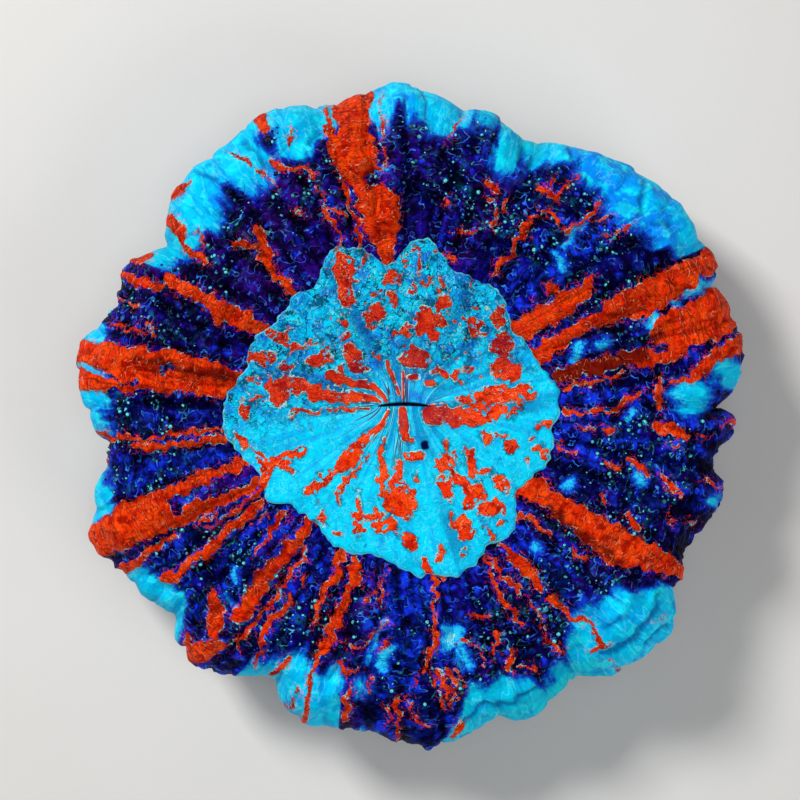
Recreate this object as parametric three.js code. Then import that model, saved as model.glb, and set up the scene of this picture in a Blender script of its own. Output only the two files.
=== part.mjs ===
// A solitary fleshy stony coral, grown as one piece. A flat oral disc with a slit mouth lies in a ring
// of radial folds, whose margin rolls over into puffed lobes and turns in beneath to a short ribbed
// stalk that flares from the cut face where it grew on. Millimetres, +Z up, origin in the middle of the cut face.
import * as THREE from "three";

// Everything is set out in turns about the mouth, which sits a little off the middle of the outline.
const MOUTH_AT = { x: -2.2, y: 2 };
const DEGREE = Math.PI / 180;

// The margin's lobes: [crest angle, crest reach, angle of the notch after it, notch reach, lift].
const MARGIN_LOBES = [
  [9, 77.6, 20, 75.6, 0.4],
  [33, 76.9, 65, 65.4, 2],
  [72, 68.6, 77, 68, -1.2],
  [90, 71.8, 102, 68, 1.4],
  [114, 72.2, 126, 69.8, 0.2],
  [132, 70.6, 146, 64, 1.6],
  [155, 68.6, 160, 66.2, -1.6],
  [171, 72.7, 188, 65, 1],
  [206, 74, 211, 71.6, 1.2],
  [217, 71.2, 223, 68.6, -0.8],
  [231, 73, 245, 67, 0.8],
  [255, 73.2, 261, 71.8, 1.2],
  [276, 76.4, 287.5, 72.6, -0.6],
  [292, 75.4, 302, 71.6, -1.4],
  [319, 78.7, 327, 73, 2.2],
  [330, 72.8, 337, 71.6, 0.6],
  [343, 75, 351, 70.6, -0.8],
  [356, 74.6, 360.5, 71.4, -0.2],
];

// The scalloped edge of the oral disc: [angle, reach].
const DISC_EDGE = [
  [5, 35.9], [21, 32.4], [36, 31], [51, 34.3], [68, 33], [82, 38.6], [95, 32.3], [106, 37.4],
  [113, 39], [125, 33.6], [136, 34.6], [142, 33.2], [155, 36.4], [163, 35.8], [180, 39.4],
  [188, 39.8], [205, 35], [211, 36.4], [230, 32.3], [252, 34.7], [260, 34.2], [278, 38.2],
  [290, 40.2], [305, 37], [312, 38], [324, 32.9], [342, 35.3], [353, 35],
];

// The mantle's folds: [crest angle, width in degrees, rise].
const FOLDS = [
  [3, 6, 2.2], [11, 8, 2.4], [18, 6, 2.4], [25, 7, 3], [32.5, 8, 2.6], [41, 8, 2], [49, 8, 2.2],
  [57, 8, 2], [66, 9, 2.2], [74, 8, 2], [83, 9, 2.2], [93, 8, 2.2], [101, 8, 2.8], [109, 7, 1.8],
  [116, 7, 2], [123, 7, 2], [131, 8, 2.2], [140, 9, 2], [151.5, 11, 2.8], [161, 8, 2.2],
  [169, 7, 2.8], [176, 7, 2.6], [183, 6, 2.2], [189, 5, 2], [195, 7, 2], [203.5, 9, 3.2],
  [211, 5, 1.8], [216, 5, 2.4], [221, 5, 1.8], [226, 5, 2], [231.5, 7, 3], [238.5, 7, 1.8],
  [244, 5, 2], [249, 5, 1.8], [254, 5, 2.4], [260, 8, 2.4], [267, 6, 1.8], [273.5, 7, 2.2],
  [280, 6, 2.2], [287, 8, 2], [294, 6, 2], [300, 6, 1.8], [307, 8, 2.4], [314, 7, 2],
  [320.5, 5, 1.6], [328, 10, 3.2], [337, 8, 2], [344.5, 7, 2.2], [352, 7, 2.2], [357.5, 4, 1.6],
];

// The mantle's section, out from the foot of the disc and in again beneath:
// [share of the way from disc edge to margin, height, strength of the folds].
const SECTION = [
  [0, 30.8, 0],
  [0.13, 32, 0.6],
  [0.36, 34.2, 1],
  [0.58, 35.8, 1],
  [0.78, 34.8, 0.75],
  [0.93, 30, 0.55],
  [1, 22.4, 0.5],
  [0.965, 15.2, 0.4],
  [0.86, 10.4, 0.25],
  [0.68, 7.2, 0.05],
];

// Round lumps on the folds: [angle, distance from the mouth, radius, rise].
const LUMPS = [
  [67.5, 59, 7, 1.6], [2, 64.4, 5, 3], [141, 58.5, 5, 1.6], [97, 43, 6, 1.6],
  [99, 56, 6, 1.6], [67, 46, 6, 1.8], [51, 51.5, 5, 1.6], [260, 48, 6, 1.8], [316, 66, 13, 3],
  [252, 67.5, 8, 2.4], [19, 59.5, 4, 1.6], [262, 62, 4, 1.6], [35, 67, 13, 2.4],
  [113, 64, 8, 2.2], [130, 63, 9, 2.4], [90, 64, 9, 2.4], [172, 63, 7, 1.8], [204, 62, 7, 2],
  [11, 68, 8, 2], [231, 62, 6, 1.8], [276, 64, 7, 1.8], [294, 67, 6, 1.6], [342, 66, 6, 1.8],
];

const DISC = { lipHeight: 32.8, crown: 2.2, lipRoll: 0.8, rollFrom: 0.88, overhang: 0.4, pleatRise: 0.35 };
const MOUTH = { halfLength: 6, halfWidth: 0.8, depth: 3.4, lipRise: 0.5 };
const KNOBS = { spacing: 7.4, rise: 0.55, turnPerFold: 2.1 };
const WANDER = { degrees: 1.1, wavelength: 26 };
const STALK = { neck: 53, neckHeight: 4.6, foot: 49, ribDepth: 0.9, bands: [2.3, 0] };

// How far the folds stand out past the section at the margin, where the section keeps back for them.
const FOLD_ROOM = 1;
// The lower this power, the rounder the folds' backs and the sharper their grooves.
const FOLD_POWER = 0.7;
// Lumps are whole where the folds have this strength or more.
const LUMP_STRENGTH = 0.7;
const DEGREES_PER_WANDER = 17;
const SLOPE_STEP = 0.05;

// Every fold has a column in its groove, two or three up each flank, and one on the crest.
const STEPS_OF_NARROW_FOLD = 2;
const STEPS_OF_WIDE_FOLD = 3;
const WIDE_FOLD = 9.5;

// Distances from the mouth of the disc's inner rings, and shares of the disc's reach of its outer ones.
const MOUTH_RINGS = [0.9, 1.8, 2.8, 3.9, 5.1, 6.4, 8.2];
const DISC_RINGS = [0.33, 0.44, 0.55, 0.66, 0.77, 0.88, 0.96];
const STEPS_PER_SECTION_POINT = 2;
const FIRST_PLAIN_POINT = 6;

// A turn of 0 to 360 degrees.
const wrapped = (angle) => ((angle % 360) + 360) % 360;

// The span of a list of angles that holds an angle, with the share of the way along it.
function spanAt(angles, angle) {
  const turn = wrapped(angle - angles[0]);
  for (let i = 0; i < angles.length; i += 1) {
    const start = wrapped(angles[i] - angles[0]);
    const next = (i + 1) % angles.length;
    const end = next === 0 ? 360 : wrapped(angles[next] - angles[0]);
    if (turn >= start && turn < end) {
      return { from: i, to: next, share: (turn - start) / (end - start) };
    }
  }
  throw new Error("no span holds " + angle);
}

// A share of 0 to 1, eased at both ends.
const eased = (share) => (1 - Math.cos(share * Math.PI)) / 2;

// How far the margin reaches: round at each crest, sharp at each notch.
const marginAngles = MARGIN_LOBES.flatMap(([crest, , notch]) => [crest, notch]);
const marginReaches = MARGIN_LOBES.flatMap(([, reach, , notchReach]) => [reach, notchReach]);
function marginReach(angle) {
  const { from, to, share } = spanAt(marginAngles, angle);
  const leavesCrest = from % 2 === 0;
  const crest = leavesCrest ? marginReaches[from] : marginReaches[to];
  const notch = leavesCrest ? marginReaches[to] : marginReaches[from];
  const fromNotch = leavesCrest ? 1 - share : share;
  return notch + (crest - notch) * Math.sin((fromNotch * Math.PI) / 2);
}

// How much higher or lower the mantle's back stands at a lobe than its section says.
const lobeAngles = MARGIN_LOBES.map(([crest]) => crest);
function lobeLift(angle) {
  const { from, to, share } = spanAt(lobeAngles, angle);
  const [before, after] = [MARGIN_LOBES[from][4], MARGIN_LOBES[to][4]];
  return before + (after - before) * eased(share);
}

// How far the oral disc reaches.
const discAngles = DISC_EDGE.map(([at]) => at);
function discReach(angle) {
  const { from, to, share } = spanAt(discAngles, angle);
  return DISC_EDGE[from][1] + (DISC_EDGE[to][1] - DISC_EDGE[from][1]) * eased(share);
}

// Grooves lie where two folds meet.
const grooveAfter = FOLDS.map(([crest, width], i) => {
  const [nextCrest, nextWidth] = FOLDS[(i + 1) % FOLDS.length];
  const gap = wrapped(nextCrest - crest);
  return crest + (gap * width) / (width + nextWidth);
});

// The columns of the finest ring, fold by fold: the angle, the fold, and how high on the fold it lies.
const columns = FOLDS.flatMap(([crest, width], fold) => {
  const steps = width > WIDE_FOLD ? STEPS_OF_WIDE_FOLD : STEPS_OF_NARROW_FOLD;
  const before = wrapped(crest - grooveAfter[(fold + FOLDS.length - 1) % FOLDS.length]);
  const after = wrapped(grooveAfter[fold] - crest);
  return Array.from({ length: 2 * steps }, (_, i) => {
    const side = i / steps - 1;
    const angle = crest + side * (side < 0 ? before : after);
    return { angle, fold, height: (1 - side * side) ** FOLD_POWER };
  });
});

// One smooth curve through rows of numbers, at a place counted in rows.
function along(rows, place) {
  const i = Math.min(Math.floor(place), rows.length - 2);
  const t = place - i;
  const nearby = [i - 1, i, i + 1, i + 2].map((k) => Math.min(Math.max(k, 0), rows.length - 1));
  const [a, b, c, d] = nearby.map((k) => rows[k]);
  return b.map((_, k) => {
    const slope = c[k] - a[k];
    const bend = 2 * a[k] - 5 * b[k] + 4 * c[k] - d[k];
    const twist = 3 * b[k] - a[k] - 3 * c[k] + d[k];
    return 0.5 * (2 * b[k] + slope * t + bend * t * t + twist * t * t * t);
  });
}

// The rise of the round lumps at a place on the mantle's upper side.
function lumpRise(angle, reach) {
  return LUMPS.reduce((sum, [at, distance, radius, rise]) => {
    const turn = (angle - at) * DEGREE;
    const apart = Math.hypot(reach * Math.cos(turn) - distance, reach * Math.sin(turn));
    const share = Math.max(0, 1 - (apart / radius) ** 2);
    return sum + rise * share * share;
  }, 0);
}

// A point given by its turn about the mouth, its distance out and its height.
function pointAt(angle, reach, height) {
  const turn = angle * DEGREE;
  return [MOUTH_AT.x + reach * Math.cos(turn), MOUTH_AT.y + reach * Math.sin(turn), height];
}

// A ring of the mantle, at a place along its section.
function mantleRing(place) {
  const [share, height, strength] = along(SECTION, place);
  const [nextShare, nextHeight] = along(SECTION, Math.min(place + SLOPE_STEP, SECTION.length - 1));
  const [lastShare, lastHeight] = along(SECTION, Math.max(place - SLOPE_STEP, 0));
  const climb = nextHeight - lastHeight;
  return columns.map((column) => {
    const inner = discReach(column.angle) + DISC.overhang;
    const outer = marginReach(column.angle) - FOLD_ROOM;
    const run = (nextShare - lastShare) * (outer - inner);
    const length = Math.hypot(run, climb);
    const reach = inner + (outer - inner) * share;
    const knob = KNOBS.rise * Math.sin((2 * Math.PI * reach) / KNOBS.spacing + column.fold * KNOBS.turnPerFold);
    const foldRise = strength * (FOLDS[column.fold][2] * column.height + knob);
    const lumps = place < FIRST_PLAIN_POINT ? lumpRise(column.angle, reach) : 0;
    const rise = foldRise + lumps * Math.min(1, strength / LUMP_STRENGTH);
    const phase = (2 * Math.PI * reach) / WANDER.wavelength + column.angle / DEGREES_PER_WANDER;
    const drift = WANDER.degrees * Math.sin(phase);
    const swayed = column.angle + drift * share * Math.min(1, strength);
    const lifted = height + lobeLift(column.angle) * strength;
    return pointAt(swayed, reach - (rise * climb) / length, lifted + (rise * run) / length);
  });
}

// The oral disc's height: a low crown with faint pleats that run on from the folds, rolled down at the
// lip, and the slit mouth sunk in its middle.
function discHeight(column, reach) {
  const share = reach / discReach(column.angle);
  const turn = column.angle * DEGREE;
  const across = (reach * Math.sin(turn)) / MOUTH.halfWidth;
  const alongSlit = (reach * Math.cos(turn)) / MOUTH.halfLength;
  const inSlit = Math.max(0, 1 - alongSlit ** 4);
  const slit = -MOUTH.depth * inSlit * Math.exp(-(across ** 2));
  const lips = MOUTH.lipRise * Math.exp(-((reach / MOUTH.halfLength) ** 2));
  const pleat = DISC.pleatRise * share * column.height;
  const roll = -DISC.lipRoll * Math.max(0, (share - DISC.rollFrom) / (1 - DISC.rollFrom)) ** 2;
  return DISC.lipHeight + DISC.crown * (1 - share * share) + pleat + slit + lips + roll;
}

// A ring of the oral disc on every so many columns, at a distance that depends on the angle.
function discRing(stride, reachAt) {
  return columns
    .filter((_, i) => i % stride === 0)
    .map((column) => {
      const reach = reachAt(column.angle);
      return pointAt(column.angle, reach, discHeight(column, reach));
    });
}

// The distance from the mouth to a circle about the origin.
function circleReach(angle, radius) {
  const turn = angle * DEGREE;
  const ahead = MOUTH_AT.x * Math.cos(turn) + MOUTH_AT.y * Math.sin(turn);
  const mouthSquared = MOUTH_AT.x ** 2 + MOUTH_AT.y ** 2;
  return Math.sqrt(ahead * ahead - mouthSquared + radius * radius) - ahead;
}

// A ring of the ribbed stalk, whose ribs run down from the grooves and crests of the folds.
function stalkRing(radius, height) {
  return columns
    .filter((_, i) => i % 2 === 0)
    .map((column) => {
      const rib = STALK.ribDepth * (column.height - 1);
      return pointAt(column.angle, circleReach(column.angle, radius + rib), height);
    });
}

// The closed surface, ring by ring from the middle of the mouth to the middle of the cut face.
function rings() {
  const inner = MOUTH_RINGS.map((reach) => discRing(4, () => reach));
  const disc = DISC_RINGS.map((share) => discRing(2, (angle) => share * discReach(angle)));
  const lip = discRing(1, discReach);
  const places = (SECTION.length - 1) * STEPS_PER_SECTION_POINT;
  const stations = Array.from({ length: places + 1 }, (_, i) => i / STEPS_PER_SECTION_POINT);
  const kept = stations.filter((place) => place <= FIRST_PLAIN_POINT || Number.isInteger(place));
  const mantle = kept.map(mantleRing);
  const stalk = [
    stalkRing(STALK.neck, STALK.neckHeight),
    ...STALK.bands.map((height, i) => {
      const share = (i + 1) / STALK.bands.length;
      return stalkRing(STALK.neck + (STALK.foot - STALK.neck) * share, height);
    }),
  ];
  return [...inner, ...disc, lip, ...mantle, ...stalk];
}

// Triangles between two rings, walked side by side round the turn.
function zip(triangles, first, firstSize, second, secondSize) {
  let i = 0;
  let j = 0;
  while (i < firstSize || j < secondSize) {
    const a = first + (i % firstSize);
    const b = second + (j % secondSize);
    if (j >= secondSize || (i < firstSize && (i + 1) / firstSize <= (j + 1) / secondSize)) {
      triangles.push(a, b, first + ((i + 1) % firstSize));
      i += 1;
    } else {
      triangles.push(a, b, second + ((j + 1) % secondSize));
      j += 1;
    }
  }
}

// Triangles from one point to a ring.
function fan(triangles, centre, ring, size, facesUp) {
  for (let i = 0; i < size; i += 1) {
    const a = ring + i;
    const b = ring + ((i + 1) % size);
    triangles.push(centre, facesUp ? a : b, facesUp ? b : a);
  }
}

function coralGeometry() {
  const all = rings();
  const points = [pointAt(0, 0, discHeight(columns[0], 0))];
  const triangles = [];
  const starts = all.map((ring) => {
    const start = points.length;
    points.push(...ring);
    return start;
  });
  fan(triangles, 0, starts[0], all[0].length, true);
  for (let i = 1; i < all.length; i += 1) {
    zip(triangles, starts[i - 1], all[i - 1].length, starts[i], all[i].length);
  }
  const last = all.length - 1;
  points.push([0, 0, 0]);
  fan(triangles, points.length - 1, starts[last], all[last].length, false);
  const geometry = new THREE.BufferGeometry();
  geometry.setAttribute("position", new THREE.Float32BufferAttribute(points.flat(), 3));
  geometry.setIndex(triangles);
  geometry.computeVertexNormals();
  return geometry;
}

const tissue = new THREE.MeshStandardMaterial({ color: 0x1a3fb4, roughness: 0.5, metalness: 0 });
const coral = new THREE.Mesh(coralGeometry(), tissue);
coral.name = "coral";

const part = new THREE.Group();
part.add(coral);

export default part;
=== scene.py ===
"""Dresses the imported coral: its crumpled mantle, its marbled oral disc, its papillae and its stony stalk.

The coral is set out in turns about its mouth. Lengths in the tables are in millimetres and angles in
degrees, counted from +X towards +Y. Meshes are made in metres.
"""

import logging
import math
from dataclasses import dataclass
from enum import Enum

import bpy
import numpy as np
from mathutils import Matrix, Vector, noise


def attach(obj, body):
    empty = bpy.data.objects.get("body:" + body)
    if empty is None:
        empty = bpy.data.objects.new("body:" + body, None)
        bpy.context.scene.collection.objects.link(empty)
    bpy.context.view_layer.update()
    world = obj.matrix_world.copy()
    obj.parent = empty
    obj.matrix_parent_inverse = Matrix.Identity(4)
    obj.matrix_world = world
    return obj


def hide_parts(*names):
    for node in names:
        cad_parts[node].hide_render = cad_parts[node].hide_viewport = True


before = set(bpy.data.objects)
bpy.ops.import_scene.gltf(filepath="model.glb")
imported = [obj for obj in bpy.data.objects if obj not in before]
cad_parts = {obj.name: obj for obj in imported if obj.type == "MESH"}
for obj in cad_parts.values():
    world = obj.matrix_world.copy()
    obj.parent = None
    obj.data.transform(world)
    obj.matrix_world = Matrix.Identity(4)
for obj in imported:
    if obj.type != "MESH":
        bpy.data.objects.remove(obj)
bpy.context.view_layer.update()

MM = 0.001
MOUTH_AT = np.array([-2.2, 2.0])
# The camera hangs this high. What is drawn in the tables is measured as it looks from there at the margin's
# height, so whatever stands higher is a little smaller than it looks.
CAMERA_HEIGHT = 518
DRAWN_HEIGHT = 20
DISC_HEIGHT = 33

# The margin's lobes: crest angle, crest reach, angle of the notch after it, notch reach, lift.
MARGIN_LOBES = np.array([
    [9, 77.6, 20, 75.6, 0.4], [33, 76.9, 65, 65.4, 2], [72, 68.6, 77, 68, -1.2], [90, 71.8, 102, 68, 1.4],
    [114, 72.2, 126, 69.8, 0.2], [132, 70.6, 146, 64, 1.6], [155, 68.6, 160, 66.2, -1.6],
    [171, 72.7, 188, 65, 1], [206, 74, 211, 71.6, 1.2], [217, 71.2, 223, 68.6, -0.8],
    [231, 73, 245, 67, 0.8], [255, 73.2, 261, 71.8, 1.2], [276, 76.4, 287.5, 72.6, -0.6],
    [292, 75.4, 302, 71.6, -1.4], [319, 78.7, 327, 73, 2.2], [330, 72.8, 337, 71.6, 0.6],
    [343, 75, 351, 70.6, -0.8], [356, 74.6, 360.5, 71.4, -0.2],
])

# The scalloped edge of the oral disc: angle, reach.
DISC_EDGE = np.array([
    [5, 35.9], [21, 32.4], [36, 31], [51, 34.3], [68, 33], [82, 38.6], [95, 32.3], [106, 37.4],
    [113, 39], [125, 33.6], [136, 34.6], [142, 33.2], [155, 36.4], [163, 35.8], [180, 39.4],
    [188, 39.8], [205, 35], [211, 36.4], [230, 32.3], [252, 34.7], [260, 34.2], [278, 38.2],
    [290, 40.2], [305, 37], [312, 38], [324, 32.9], [342, 35.3], [353, 35],
])

# The mantle's folds: crest angle, width, rise.
FOLDS = np.array([
    [3, 6, 2.2], [11, 8, 2.4], [18, 6, 2.4], [25, 7, 3], [32.5, 8, 2.6], [41, 8, 2], [49, 8, 2.2],
    [57, 8, 2], [66, 9, 2.2], [74, 8, 2], [83, 9, 2.2], [93, 8, 2.2], [101, 8, 2.8], [109, 7, 1.8],
    [116, 7, 2], [123, 7, 2], [131, 8, 2.2], [140, 9, 2], [151.5, 11, 2.8], [161, 8, 2.2],
    [169, 7, 2.8], [176, 7, 2.6], [183, 6, 2.2], [189, 5, 2], [195, 7, 2], [203.5, 9, 3.2],
    [211, 5, 1.8], [216, 5, 2.4], [221, 5, 1.8], [226, 5, 2], [231.5, 7, 3], [238.5, 7, 1.8],
    [244, 5, 2], [249, 5, 1.8], [254, 5, 2.4], [260, 8, 2.4], [267, 6, 1.8], [273.5, 7, 2.2],
    [280, 6, 2.2], [287, 8, 2], [294, 6, 2], [300, 6, 1.8], [307, 8, 2.4], [314, 7, 2],
    [320.5, 5, 1.6], [328, 10, 3.2], [337, 8, 2], [344.5, 7, 2.2], [352, 7, 2.2], [357.5, 4, 1.6],
])

# The mantle's section, out from the foot of the disc and in again beneath:
# share of the way from disc edge to margin, height, strength of the folds.
SECTION = np.array([
    [0, 31.3, 0.1], [0.13, 32, 0.6], [0.36, 34.2, 1], [0.58, 35.8, 1], [0.78, 34.8, 0.75],
    [0.93, 30, 0.55], [1, 22.4, 0.5], [0.965, 15.2, 0.4], [0.86, 10.4, 0.25], [0.68, 7.2, 0.05],
])
MARGIN_PLACE = 6

# Round lumps on the folds: angle, distance from the mouth, radius, rise.
LUMPS = np.array([
    [67.5, 59, 7, 1.6], [2, 64.4, 5, 3], [141, 58.5, 5, 1.6], [97, 43, 6, 1.6], [99, 56, 6, 1.6],
    [67, 46, 6, 1.8], [51, 51.5, 5, 1.6], [260, 48, 6, 1.8], [316, 66, 13, 3], [252, 67.5, 8, 2.4],
    [19, 59.5, 4, 1.6], [262, 62, 4, 1.6], [35, 67, 13, 2.4], [113, 64, 8, 2.2], [130, 63, 9, 2.4],
    [90, 64, 9, 2.4], [172, 63, 7, 1.8], [204, 62, 7, 2], [11, 68, 8, 2], [231, 62, 6, 1.8],
    [276, 64, 7, 1.8], [294, 67, 6, 1.6], [342, 66, 6, 1.8],
])

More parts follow.
